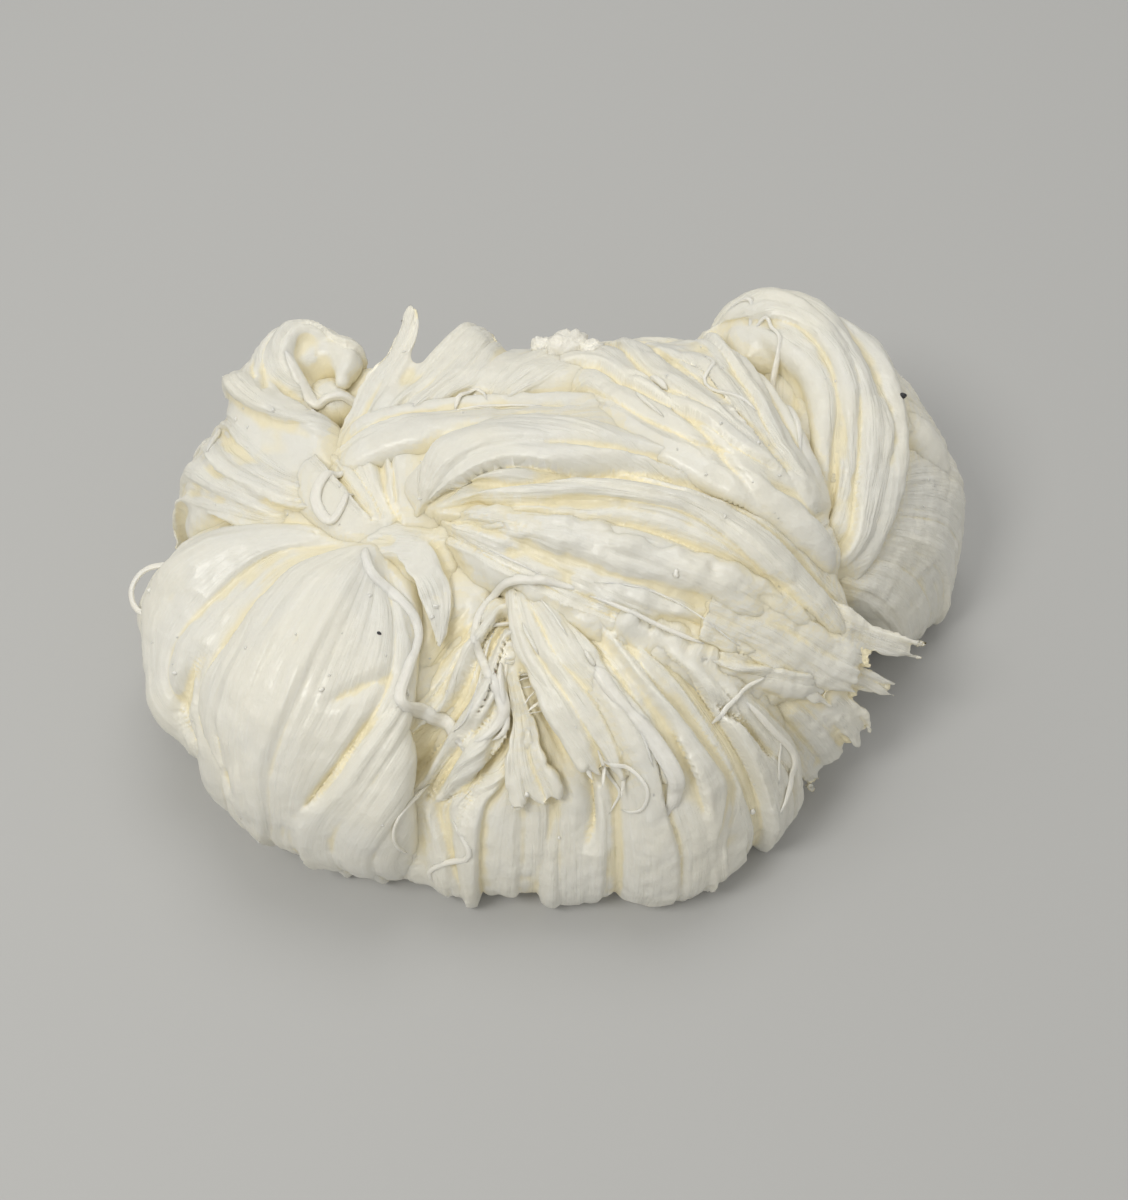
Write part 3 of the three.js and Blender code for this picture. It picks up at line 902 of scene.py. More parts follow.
def mark_gaps(pieces, cell=1.2, blur=2.6, off=2.4):
    """How closed in each point is, from 0 in the open to 1 in a deep gap, kept as the
    attribute "gap". The skins of all pieces are counted into a lattice of cells, which is
    blurred by a Gaussian, and each point looks up the blurred value a little off its skin."""
    # the curd's finish paints shade into the gaps between pieces by this attribute
    points = [coordinates(piece.data) / MM for piece in pieces]
    ways = [normals(piece.data) for piece in pieces]
    share = []
    for piece in pieces:
        areas, count = np.empty(len(piece.data.polygons), np.float32), len(piece.data.vertices)
        piece.data.polygons.foreach_get("area", areas)
        share.append(np.full(count, areas.sum() / MM**2 / count))
    every = np.concatenate(points)
    low = every.min(0) - 12
    shape = np.ceil((every.max(0) + 12 - low) / cell).astype(int)
    edges = [low[axis] + cell * np.arange(shape[axis] + 1) for axis in range(3)]
    filled, _ = np.histogramdd(every, bins=edges, weights=np.concatenate(share))
    spread = np.fft.rfftn(filled)
    for axis, count in enumerate(shape):
        rate = np.fft.rfftfreq(count) if axis == 2 else np.fft.fftfreq(count)
        fade = np.exp(-2 * (math.pi * rate * blur / cell) ** 2)
        spread = spread * fade.reshape([-1 if axis == k else 1 for k in range(3)])
    closed = np.fft.irfftn(spread, shape, axes=(0, 1, 2))
    flat = cell**3 / (math.sqrt(2 * math.pi) * blur)
    for piece, place, way in zip(pieces, points, ways):
        where = tuple(np.clip(((place + off * way - low) / cell).astype(int), 0, shape - 1).T)
        keep_values(piece.data, "gap", closed[where] / flat)


# ---- finishes --------------------------------------------------------------------------------
class Value:
    """A number that varies over a surface. Arithmetic on it adds Math nodes."""

    def __init__(self, recipe, socket):
        self.recipe, self.socket = recipe, socket

    def maths(self, operation, *values):
        """The outcome of a Math node."""
        kind = {"operation": operation}
        return self.recipe.node("ShaderNodeMath", kind, dict(enumerate(values)))[0]

    def __add__(self, other):
        return self.maths("ADD", self, other)

    def __sub__(self, other):
        return self.maths("SUBTRACT", self, other)

    def __rsub__(self, other):
        return self.maths("SUBTRACT", other, self)

    def __mul__(self, other):
        return self.maths("MULTIPLY", self, other)

    __radd__, __rmul__ = __add__, __mul__

    def between(self, low, high):
        """0 below low, 1 above high, and a smooth rise between them."""
        ramp = self.recipe.node("ShaderNodeMapRange", {"interpolation_type": "SMOOTHSTEP"},
                                {"Value": self, "From Min": low, "From Max": high})
        return ramp[0]


class Recipe:
    """The nodes of one finish."""

    def __init__(self, name):
        self.material = bpy.data.materials.new(name)
        self.material.use_nodes = True
        self.tree = self.material.node_tree
        self.tree.nodes.clear()

    def node(self, kind, settings=None, inputs=None):
        """A node of a kind: its settings come first, then the values or links of its sockets.
        Gives back its outputs that can be used."""
        made = self.tree.nodes.new(kind)
        for key, value in (settings or {}).items():
            setattr(made, key, value)
        for key, value in (inputs or {}).items():
            if isinstance(value, Value):
                self.tree.links.new(value.socket, made.inputs[key])
            else:
                made.inputs[key].default_value = value
        return [Value(self, socket) for socket in made.outputs if socket.enabled]

    def blend(self, share, first, second):
        """A colour between two colours."""
        kind = {"data_type": "RGBA"}
        return self.node("ShaderNodeMix", kind, {0: share, 6: first, 7: second})[0]

    def grain(self, place, scale, detail):
        """Noise from 0 to 1, with so many finer layers added."""
        look = {"Vector": place, "Scale": scale, "Detail": detail, "Roughness": 0.5}
        return self.node("ShaderNodeTexNoise", {"noise_dimensions": "3D"}, look)[0]

    def stretched(self, place, along):
        """A place in the straightened strand with its length drawn together, so that noise
        on it runs out into fibres."""
        kind = {"operation": "MULTIPLY"}
        return self.node("ShaderNodeVectorMath", kind, {0: place, 1: (1, 1, along)})[0]


def curd(name, fibre_depth=1.0, crumb_depth=0.5, painted_lift=(0.0, 0.0, 0.0)):
    """Pulled curd: creamy white, streaked and dimpled along its fibres, moist in patches, and lit
    from within. Shade is painted into its hollows and into the gaps between pieces as a darker,
    yellower colour, and a painted lift, where given, makes it lighter all over."""
    r = Recipe(name)
    fibre = r.node("ShaderNodeAttribute", {"attribute_name": "fibre"})[1]
    hollow = r.node("ShaderNodeAttribute", {"attribute_name": "hollow"})[2]
    drawn = 1 - r.node("ShaderNodeAttribute", {"attribute_name": "seam"})[2]
    gap = r.node("ShaderNodeAttribute", {"attribute_name": "gap"})[2]
    place = r.node("ShaderNodeTexCoord")[3]

    strings = 0.5 + (r.grain(r.stretched(fibre, 0.10), 900, 2) - 0.5) * drawn
    threads = 0.5 + (r.grain(r.stretched(fibre, 0.05), 2400, 2) - 0.5) * drawn
    clouds = r.grain(place, 60, 3)
    pits = r.grain(place, 700, 2)
    moist = r.grain(place, 130, 3)

    # a painted lift makes both colours lighter: painted light
    light = tuple(c + t for c, t in zip((0.825, 0.80, 0.70), painted_lift)) + (1,)
    cool = tuple(c + t for c, t in zip((0.80, 0.785, 0.71), painted_lift)) + (1,)
    # deep: the colour of painted shade, darker and yellower than the curd
    deep = (0.85, 0.77, 0.53, 1)
    streak = (0.87, 0.86, 0.80, 1)
    colour = r.blend(clouds.between(0.40, 0.65), light, cool)
    colour = r.blend(threads.between(0.52, 0.72) * 0.35, colour, streak)
    # painted shade: the deep colour blended in by the depth of a hollow and by how closed in a gap is
    colour = r.blend(hollow.between(0.15, 1.1) * 0.85, colour, deep)
    colour = r.blend(gap.between(1.0, 2.4) * 0.7, colour, deep)

    rough = 0.30 + 0.26 * moist.between(0.35, 0.7) + 0.10 * strings
    relief = strings * (0.55 * fibre_depth) + threads * (0.25 * fibre_depth)
    relief = relief + pits * (0.45 * crumb_depth)
    bump = r.node("ShaderNodeBump", None, {"Strength": 1.0, "Distance": 0.0009, "Height": relief})[0]
    shader = r.node("ShaderNodeBsdfPrincipled", {"subsurface_method": "BURLEY"}, {
        "Base Color": colour, "Roughness": rough, "IOR": 1.45, "Normal": bump,
        "Subsurface Weight": 0.5, "Subsurface Radius": (1.0, 0.92, 0.75), "Subsurface Scale": 0.0014,
        "Coat Weight": 0.22, "Coat Roughness": 0.16,
    })[0]
    r.node("ShaderNodeOutputMaterial", None, {"Surface": shader})
    return r.material


def seed_coat():
    """A black seed's skin: dark, dull and finely pitted."""
    r = Recipe("seed_coat")
    place = r.node("ShaderNodeTexCoord")[3]
    pits = r.grain(place, 2500, 2)
    bump = r.node("ShaderNodeBump", None, {"Strength": 1.0, "Distance": 0.0003, "Height": pits})[0]
    colour = r.blend(pits.between(0.3, 0.7), (0.012, 0.012, 0.016, 1), (0.05, 0.05, 0.055, 1))
    look = {"Base Color": colour, "Roughness": 0.6, "Normal": bump}
    shader = r.node("ShaderNodeBsdfPrincipled", None, look)[0]
    r.node("ShaderNodeOutputMaterial", None, {"Surface": shader})
    return r.material


# ---- the hank's forms ------------------------------------------------------------------------
# Places and sizes are millimetres. A section is "wide" and "thick", makes "twist" half turns,
# is "taper" full at its two ends, and has "folds" and "strings", each with a spacing and a depth.
# A fan is widest at the height "swell", draws in by "tuck" below it, and is "round" by the power
# of its superellipse. Guide lines with a "foot" run on down to the ground. Laid strands are
# "sunk" by a part of their thickness, "lean" by up to so many radians, and their ends are
# "ragged" by parts of their length. A sheet's end is "torn" into "teeth" by a part of its length,
# and its sides have "rag". "Raised" is a height over the guide lines or over what lies below.
SMOOTH = {"folds": (6.5, 0.35), "strings": (2.4, 0.08)}
STRINGY = {"folds": (4.5, 0.45), "strings": (1.5, 0.15)}
BAND = {"folds": (4.0, 0.3), "strings": (1.8, 0.12), "taper": (0.35, 0.5)}
FLAT = {"relief": [(3.2, 40, 0.35), (1.5, 22, 0.22), (1.2, 4, 0.10)], "taper": (0.4, 0.6)}
PULLED = [(3.0, 50, 0.3), (1.5, 30, 0.22)]
FINE_STRING = {"folds": (1.0, 0.05), "strings": (1.0, 0.0), "taper": (0.3, 0.2), "lumps": 0.2}
ROUND_THREAD = {
    "folds": (1.2, 0.08), "strings": (1.0, 0.0), "taper": (0.35, 0.15), "lumps": 0.3, "step": 0.5,
}
TORN_SPIKE = {
    "folds": (1.4, 0.12), "strings": (1.0, 0.05), "taper": (0.9, 0.06), "lumps": 0.25, "step": 0.6,
}

LEFT_ROLL = {
    "from": [(-37, 8, 39), (-34, 4, 40)], "to": [(-55, 22), (-70, 14), (-75, -1), (-71, -15)],
    "swell": 15, "tuck": 0.14, "round": 2.4,
    "count": 6, "wide": (7, 19), "thick": 11, "twist": 0.3, **SMOOTH,
}
LEFT_POUCH = {
    "from": [(-35, 5, 41), (-31, 3, 42), (-26, -3, 41)],
    "to": [(-62, -19), (-57, -30), (-47, -38), (-32, -42)],
    "swell": 18, "tuck": 0.14, "round": 2.4,
    "count": 8, "wide": (8, 17), "thick": 12, "twist": 0.3, **SMOOTH,
}
LEFT_FLANK = {
    "from": [(-44, 30, 40), (-38, 20, 41)], "to": [(-63, 38), (-68, 28), (-64, 18)],
    "swell": 22, "tuck": 0.1, "round": 2.4,
    "count": 5, "wide": (9, 15), "thick": 11, "twist": 0.4, **STRINGY,
}
FRONT_LEFT_STRIPS = {
    "from": [(-19, 2, 40), (-6, -5, 42)], "to": [(-38, -40), (-20, -46), (2, -48)],
    "swell": 8, "tuck": 0.1, "round": 1.7,
    "count": 8, "wide": (5, 11), "thick": 9, "twist": 0.4, **STRINGY,
}
FRONT_RIGHT_BUNDLE = {
    "from": [(0, -8, 43), (10, -13, 44), (20, -16, 43)],
    "to": [(8, -48), (24, -47), (36, -41), (42, -31)],
    "swell": 9, "tuck": 0.1, "round": 1.8,
    "count": 9, "wide": (6, 12), "thick": 10, "twist": 0.3, **STRINGY,
}
BACK_DRAPE = {
    "from": [(-54, 32, 37), (-36, 40, 38), (0, 38, 43), (34, 42, 41), (54, 42, 43), (62, 32, 39)],
    "to": [(-64, 34), (-44, 47), (0, 51), (36, 50), (59, 46), (76, 30)],
    "swell": 15, "tuck": 0.05, "round": 2.6,
    "count": 14, "wide": (12, 19), "thick": 11, "twist": 0.4, **STRINGY,
}
MAIN_ROPE = {
    "first": [(-24, 10, 42), (-24, 13, 48), (-14, 16, 53), (5, 15, 55),
              (27, 11, 54), (43, 3, 47), (53, -7, 37), (55, -12, 27)],
    "last": [(-23, 6, 40), (-19, 8, 46), (-5, 6, 50), (10, 2, 51),
             (27, -5, 48), (41, -11, 42), (51, -14, 34), (56, -16, 27)],
    "count": 6, "wide": 9, "thick": 10, "twist": 0.9, "taper": (0.5, 0.5), **SMOOTH,
}
FRAYED_ROPE = {
    "first": [(-19, 4, 46), (-5, 0, 51), (11, -5, 52), (29, -10, 49), (42, -13, 43), (52, -14, 37)],
    "last": [(-17, 0, 43), (-3, -7, 45), (13, -17, 42), (30, -23, 37), (39, -23, 33), (44, -22, 31)],
    "count": 5, "wide": 8, "thick": 7, "twist": 1.2, "taper": (0.6, 0.3), **STRINGY,
}
UPPER_BAND = {
    "first": [(-42, 18, 42), (-31, 22, 47), (-14, 23, 50), (5, 21, 53), (24, 15, 53)],
    "last": [(-42, 26, 40), (-30, 30, 46), (-12, 32, 47), (7, 30, 49), (26, 23, 51)],
    "count": 4, "wide": 6, "thick": 7, "twist": 0.8, "taper": (0.5, 0.5), **STRINGY,
}
RIGHT_UPPER_BANDS = {
    "first": [(2, 45, 26), (5, 41, 43), (16, 28, 50), (31, 17, 53), (42, 7, 49), (51, -3, 39)],
    "last": [(25, 50, 28), (27, 48, 43), (36, 38, 49), (44, 24, 49), (48, 12, 45), (52, 1, 38)],
    "count": 7, "wide": 8, "thick": 10, "twist": 0.5, "taper": (0.7, 0.5), **SMOOTH,
}
RIGHT_LOOP = {
    "first": [(25, 46, 20), (32, 50, 37), (43, 52, 44), (55, 51, 46), (64, 44, 46),
              (67, 31, 44), (65, 15, 40), (57, 1, 34), (50, -6, 27)],
    "last": [(34, 40, 30), (38, 45, 42), (44, 46, 47), (50, 43, 47), (53, 36, 46),
             (55, 25, 44), (54, 12, 41), (50, 1, 36), (46, -5, 28)],
    "count": 4, "wide": 8, "thick": 11, "twist": 0.7, "taper": (0.7, 0.5), **SMOOTH,
}
BACK_ROPE = {
    "first": [(-66, 28, 15), (-50, 44, 22), (-24, 51, 26), (0, 53, 28),
              (24, 53, 26), (46, 50, 20), (68, 38, 15)],
    "last": [(-60, 32, 31), (-46, 43, 35), (-22, 47, 37), (0, 49, 39),
             (24, 50, 37), (42, 49, 31), (64, 41, 26)],
    "count": 5, "wide": 9, "thick": 10, "twist": 1.4, "taper": (0.6, 0.6), **STRINGY,
}
BACK_ROPE_LINES = {"guides": [
    [(-68, 28, -8), (-52, 44, -2), (-24, 52, 4), (0, 55, 9), (24, 57, 15), (46, 56, 17), (69, 42, 16)],
    [(-68, 29, 4), (-51, 46, 10), (-24, 54, 15), (0, 57, 20), (24, 58, 26), (45, 55, 27), (67, 43, 26)],
    [(-67, 30, 14), (-50, 48, 21), (-24, 56, 26), (0, 58, 31), (24, 57, 36), (43, 53, 38), (64, 44, 36)],
    [(-62, 33, 28), (-48, 47, 33), (-23, 54, 37), (0, 55, 42), (24, 52, 46), (42, 50, 46), (62, 43, 44)],
]}
RIGHT_FLANK_LINES = {"foot": True, "guides": [
    [(46, 24, 34), (60, 22, 20), (63, 20, 8)],
    [(48, 12, 34), (57, 10, 20), (60, 8, 8)],
    [(49, 2, 32), (56, -1, 18), (58, -3, 8)],
    [(46, -9, 30), (54, -12, 16), (56, -14, 8)],
    [(40, -18, 30), (49, -22, 16), (51, -24, 8)],
]}
BACK_LINES = {"foot": True, "guides": [
    [(-46, 34, 40), (-56, 39, 30), (-61, 38, 16)],
    [(-30, 38, 42), (-41, 47, 31), (-45, 48, 16)],
    [(-12, 38, 44), (-23, 50, 32), (-27, 51, 16)],
    [(6, 38, 45), (-3, 51, 33), (-7, 53, 16)],
    [(24, 40, 45), (17, 51, 32), (14, 53, 16)],
    [(42, 42, 44), (36, 51, 31), (34, 52, 16)],
    [(56, 40, 43), (55, 47, 30), (53, 50, 16)],
    [(63, 32, 41), (70, 38, 28), (70, 40, 14)],
]}
TOP_LEFT_LOBE = {
    "route": [(-40, 24, 30), (-49, 33, 33), (-53, 43, 32), (-50, 51, 24)],
    "wide": 22, "thick": 18, "twist": 0.4, "taper": (0.8, 0.6), **SMOOTH,
}
TOP_LEFT_CURL = {
    "route": [(-37, 26, 38), (-48, 30, 40), (-56, 39, 39),
              (-54, 49, 39), (-45, 53, 40), (-39, 49, 42), (-40, 43, 43)],
    "wide": (15, 10), "thick": 12, "twist": 0.5, "taper": (0.7, 0.4), **SMOOTH,
}
SPIKE_FLAP = {"thick": 2.6, "torn": 0.16, "teeth": 3, "guides": [
    [(-43, 24, 41), (-42, 27, 44), (-39, 34, 45), (-36, 41, 47),
     (-31, 49, 48), (-28, 57, 49), (-26, 62, 49)],
    [(-38, 24, 43), (-34, 30, 46), (-31, 35, 47), (-27, 43, 49),
     (-24, 49, 50), (-23, 55, 50), (-25, 61, 49)],
]}
FIRST_LEAF = {"thick": 3.4, "torn": 0.14, "teeth": 7, "guides": [
    [(-33, 31, 43), (-31, 34, 46), (-28, 39, 47), (-25, 43, 48),
     (-20, 49, 48), (-16, 54, 47), (-12, 58, 43)],
    [(-28, 29, 45), (-26, 32, 48), (-21, 37, 50), (-16, 43, 50), (-12, 50, 49), (-9, 56, 44)],
    [(-23, 29, 46), (-21, 31, 49), (-17, 34, 50), (-12, 37, 50), (-9, 43, 49), (-5, 50, 44)],
]}
SECOND_LEAF = {"thick": 4.4, "torn": 0.12, "teeth": 5, "guides": [
    [(-14, 30, 46), (-12, 33, 48), (-10, 37, 50), (-5, 44, 50), (1, 49, 46), (5, 51, 42)],
    [(-10, 28, 47), (-8, 31, 50), (-3, 34, 51), (3, 38, 50), (9, 43, 47), (13, 45, 43)],
]}
LEAF_BED = {
    "route": [(-38, 30, 38), (-26, 38, 40), (-12, 43, 41), (4, 42, 41), (16, 42, 38)],
    "wide": 24, "thick": 14, "twist": 0.2, "taper": (0.6, 0.6), **STRINGY,
}
LOOP_LINING = {
    "first": [(30, 50, 32), (38, 48, 41), (45, 41, 43), (48, 28, 43), (49, 14, 41), (50, 0, 33)],
    "last": [(38, 44, 30), (44, 44, 40), (51, 38, 43), (55, 27, 43), (55, 12, 39), (52, 0, 31)],
    "count": 5, "wide": 7, "thick": 8, "twist": 0.5, "taper": (0.7, 0.6), **STRINGY,
}
LOOP_BED = {
    "route": [(28, 47, 34), (38, 40, 38), (50, 30, 38), (56, 18, 37), (54, 4, 32)],
    "wide": 20, "thick": 12, "twist": 0.2, "taper": (0.7, 0.6), **SMOOTH,
}
DRAPED_STRINGS = {
    "route": [(-44, 24, 41), (-38, 16, 44), (-31, 10, 44), (-24, 5, 41)],
    "wide": 19, "thick": 8, "twist": 0.4, "taper": (0.7, 0.6), **STRINGY,
}
KNOT_BED = {
    "route": [(-27, 6, 38), (-20, -1, 40), (-15, -7, 40), (-14, -16, 36)],
    "wide": 17, "thick": 9, "twist": 0.2, "taper": (0.7, 0.6), **SMOOTH,
}
GAP_BED = {
    "route": [(-29, 13, 40), (-20, 17, 44), (-8, 21, 46), (6, 22, 47), (18, 18, 47)],
    "wide": 16, "thick": 10, "twist": 0.2, "taper": (0.7, 0.6), **SMOOTH,
}
BULB_BED = {
    "route": [(-34, 27, 38), (-28, 19, 42), (-24, 11, 43), (-22, 4, 40)],
    "wide": 15, "thick": 10, "twist": 0.2, "taper": (0.7, 0.6), **SMOOTH,
}
KNOT = {"thick": 3.4, "twist": 0.6, "taper": (0.5, 0.3), **SMOOTH}
KNOT_CORDS = [
    (5.0, [(-35, 1, 43), (-33, 4, 45), (-29, 5, 46), (-24, 4, 46), (-20, 2, 45)]),
    (4.5, [(-33, 1, 44), (-29, 1, 46), (-25, 1, 46), (-21, 1, 45)]),
    (3.0, [(-20, 3, 46), (-18, -1, 45), (-18, -5, 43)]),
]
KNOT_LINES = {"guides": [
    [(-37, -2, 46), (-30, -3, 47), (-24, -4, 47), (-17, -5, 45)],
    [(-37, 8, 46), (-30, 8, 47), (-24, 7, 47), (-17, 6, 47)],
]}
KNOT_STRIP = {"thick": 3.2, "torn": 0.14, "teeth": 3, "rag": 0.12, "raised": 1.0, "guides": [
    [(-29, 1, 46), (-27, -3, 47), (-24, -8, 46), (-22, -13, 44), (-21, -19, 42)],
    [(-22, 2, 47), (-20, -2, 47), (-18, -7, 45), (-18, -12, 44), (-20, -18, 42)],
]}
KNOT_LUMPS = [
    ((8, 7, 5), (-32, 3, 44)), ((8, 6, 5), (-27, 3, 45)), ((7, 6, 5), (-22, 2, 44)),
    ((5, 4, 4), (-19, 4, 46)), ((6, 5, 4), (-25, -3, 44)), ((4, 3, 3), (-21, -6, 44)),
    ((3, 3, 3), (-18, -9, 43)), ((5, 4, 4), (-30, 7, 45)),
]
TORN_ENDS = [
    {"thick": 2.8, "torn": 0.42, "teeth": 3, "guides": [
        [(40, -8, 48), (51, -10, 43), (59, -12, 36), (66, -12, 32)],
        [(40, -11, 48), (53, -13, 40), (66, -14, 33), (79, -14, 27)],
        [(39, -14, 46), (52, -16, 39), (62, -17, 32), (73, -17, 25)],
    ]},
    {"thick": 2.8, "torn": 0.42, "teeth": 3, "guides": [
        [(38, -14, 46), (50, -17, 38), (58, -18, 32), (68, -19, 25)],
        [(37, -17, 44), (49, -20, 35), (57, -21, 28), (66, -21, 19)],
        [(35, -20, 41), (46, -23, 33), (53, -24, 25), (61, -25, 15)],
    ]},
    {"thick": 2.6, "torn": 0.34, "teeth": 6, "rag": 0.08, "raised": 1.6, "guides": [
        [(29, -9, 51), (41, -13, 45), (52, -16, 38), (61, -17, 32)],
        [(27, -15, 49), (39, -18, 43), (50, -21, 35), (58, -21, 28)],
        [(25, -20, 46), (37, -23, 39), (46, -25, 31), (53, -25, 24)],
    ]},
    {"thick": 2.4, "torn": 0.25, "teeth": 2, "guides": [
        [(46, -20, 36), (53, -22, 30), (59, -23, 21), (62, -23, 14)],
        [(43, -22, 34), (50, -25, 27), (55, -26, 18), (58, -26, 10)],
    ]},
    {"thick": 4.0, "torn": 0.25, "teeth": 7, "guides": [
        [(36, -21, 39), (46, -24, 31), (53, -25, 21), (58, -25, 10)],
        [(34, -23, 37), (43, -27, 28), (49, -28, 18), (54, -27, 6)],
        [(31, -25, 35), (39, -29, 27), (45, -31, 16), (50, -30, 1)],
    ]},
]
LOBE_TEETH = {
    "edge": [(-59, 49, 38), (-60, 44, 39), (-60, 39, 38)],
    "way": (-1, 0.1, 0.2), "spread": 0.5, "count": 7, "long": (2, 4.5), "wide": 2.2,
}
RIGHT_BACK_FLAP = {"thick": 9, "torn": 0.05, "teeth": 6, "guides": [
    [(58, 50, 44), (66, 51, 38), (72, 47, 28), (75, 42, 14), (74, 38, 0)],
    [(62, 45, 47), (71, 44, 40), (77, 40, 30), (80, 37, 16), (78, 33, 0)],
    [(64, 36, 47), (73, 36, 42), (81, 34, 32), (83, 31, 18), (81, 28, 0)],
    [(64, 27, 46), (73, 28, 40), (80, 28, 31), (82, 27, 18), (80, 24, 0)],
]}
LEFT_LINES = {"foot": True, "guides": [
    [(-36, 6, 45), (-52, 14, 41), (-65, 20, 34), (-73, 22, 24), (-75, 20, 12)],
    [(-36, 5, 45), (-54, 11, 41), (-69, 14, 35), (-76, 12, 26), (-78, 9, 14)],
    [(-35, 5, 46), (-56, 9, 41), (-72, 8, 34), (-78, 2, 26), (-79, -3, 14)],
    [(-35, 4, 46), (-55, 8, 41), (-72, 6, 33), (-77, -8, 27), (-72, -25, 19)],
    [(-35, 3, 46), (-52, 4, 43), (-68, -5, 37), (-73, -14, 31), (-69, -27, 25)],
    [(-35, 3, 46), (-50, 2, 43), (-61, -8, 39), (-67, -18, 33), (-67, -28, 27)],
    [(-34, 2, 46), (-48, -1, 43), (-59, -13, 39), (-66, -23, 32), (-60, -34, 27)],
    [(-34, 2, 46), (-46, -4, 44), (-56, -20, 41), (-60, -31, 32), (-61, -36, 18)],
    [(-34, 1, 46), (-42, -8, 45), (-51, -23, 41), (-56, -36, 33), (-55, -41, 24)],
    [(-33, 0, 45), (-36, -11, 46), (-43, -27, 42), (-49, -37, 35), (-51, -42, 25)],
    [(-32, -2, 45), (-30, -15, 45), (-34, -29, 41), (-42, -38, 34), (-46, -41, 24)],
    [(-31, -2, 44), (-27, -14, 45), (-27, -26, 42), (-36, -37, 36), (-45, -42, 25)],
    [(-30, -3, 44), (-25, -14, 45), (-22, -27, 41), (-29, -39, 34), (-37, -45, 22)],
    [(-29, -4, 44), (-22, -14, 44), (-16, -28, 39), (-22, -40, 32), (-29, -47, 20)],
]}
FRONT_LEFT_LINES = {"foot": True, "guides": [
    [(-27, -18, 44), (-27, -28, 41), (-35, -38, 35), (-42, -43, 27)],
    [(-10, -7, 44), (-21, -18, 40), (-25, -28, 39), (-34, -39, 34), (-37, -43, 28)],
    [(-10, -11, 44), (-19, -23, 38), (-26, -35, 35), (-31, -44, 29)],
    [(-9, -14, 44), (-17, -27, 38), (-24, -35, 29), (-29, -44, 28)],
    [(-8, -18, 43), (-14, -29, 36), (-23, -37, 27), (-26, -43, 28)],
    [(-8, -21, 41), (-9, -33, 36), (-20, -39, 28), (-25, -43, 26)],
    [(-7, -24, 40), (-7, -35, 33), (-12, -39, 30), (-17, -41, 27)],
]}
FRONT_RIGHT_LINES = {"foot": True, "guides": [
    [(-6, -24, 39), (-6, -35, 33), (-6, -40, 29), (-5, -44, 25)],
    [(-5, -26, 40), (1, -36, 34), (3, -41, 31), (5, -45, 29)],
    [(1, -14, 46), (10, -26, 43), (16, -37, 37), (18, -45, 28)],
    [(5, -15, 45), (15, -25, 41), (23, -36, 32), (27, -40, 19)],
    [(9, -16, 45), (19, -26, 44), (28, -36, 36), (33, -42, 28)],
    [(12, -17, 46), (23, -24, 44), (30, -32, 37), (37, -39, 26)],
    [(18, -20, 46), (29, -27, 40), (38, -33, 30), (42, -35, 24)],
    [(27, -24, 43), (39, -27, 35), (47, -30, 22), (47, -33, 18)],
    [(34, -24, 40), (47, -26, 32), (53, -26, 19)],
]}
FRONT_LINES = {"foot": True, "guides": FRONT_LEFT_LINES["guides"] + FRONT_RIGHT_LINES["guides"]}
FAR_FAN = {"thick": 12, "torn": 0.09, "teeth": 13, "columns": 120, "guides": [
    [(64, 19, 44), (74, 28, 38), (82, 32, 29), (86, 32, 18), (84, 30, 6), (80, 28, 0)],
    [(62, 14, 43), (73, 20, 37), (82, 24, 29), (86, 25, 19), (85, 22, 6), (81, 21, 0)],
    [(60, 9, 42), (70, 13, 36), (79, 16, 28), (84, 17, 18), (84, 14, 7), (81, 14, 1)],
    [(57, 4, 40), (67, 6, 35), (75, 8, 27), (80, 9, 17), (81, 7, 7), (79, 8, 1)],
    [(55, 0, 38), (64, 1, 33), (71, 2, 24), (75, 2, 14), (76, 3, 5), (74, 6, 0)],
    [(53, -5, 36), (60, -4, 30), (65, -4, 22), (69, -3, 12), (70, 1, 4), (69, 5, 0)],
]}
TOP_LEFT_LINES = {"guides": [
    [(-37, 28, 42), (-45, 30, 42), (-54, 36, 40), (-60, 45, 37), (-60, 52, 33), (-54, 57, 34)],
    [(-35, 33, 42), (-47, 37, 43), (-53, 44, 42), (-54, 51, 41), (-48, 56, 40), (-40, 55, 42)],
    [(-36, 36, 45), (-47, 40, 46), (-50, 47, 45), (-46, 53, 44), (-39, 50, 45)],
]}
TOP_LEFT_STRANDS = {
    **TOP_LEFT_LINES, **SMOOTH, "count": 5, "wide": 6, "thick": 4, "sunk": 0.2, "lean": 0.4,
}
FLANK_LINES = {"foot": True, "guides": [
    [(-35, 12, 43), (-41, 16, 43), (-50, 22, 42), (-56, 31, 40), (-62, 40, 34), (-66, 40, 20)],
    [(-34, 9, 43), (-42, 12, 43), (-52, 16, 42), (-61, 24, 38), (-66, 34, 34), (-70, 36, 18)],
    [(-34, 7, 43), (-43, 9, 43), (-54, 11, 41), (-64, 17, 36), (-70, 22, 30), (-75, 22, 18)],
]}
FLANK_STRANDS = {
    **FLANK_LINES, **FLAT, "count": 6, "wide": 7, "thick": 2.4, "sunk": 0.2, "lean": 0.3, "rag": 0.03,
}
DRAPED_LINES = {"guides": [
    [(-49, 29, 43), (-45, 23, 44), (-40, 16, 45), (-36, 10, 45), (-32, 7, 44)],
    [(-43, 26, 45), (-38, 19, 46), (-34, 13, 46), (-32, 9, 45)],
    [(-34, 26, 47), (-31, 19, 47), (-30, 13, 46), (-28, 8, 45)],
    [(-30, 26, 48), (-28, 19, 48), (-27, 13, 47), (-27, 8, 45)],
]}
UPPER_BAND_LINES = {"guides": [
    [(-39, 23, 46), (-32, 25, 48), (-24, 27, 50), (-13, 28, 52), (-1, 26, 53), (8, 25, 54)],
    [(-42, 26, 45), (-34, 29, 47), (-26, 30, 49), (-14, 31, 51), (-2, 30, 52), (8, 28, 53)],
]}
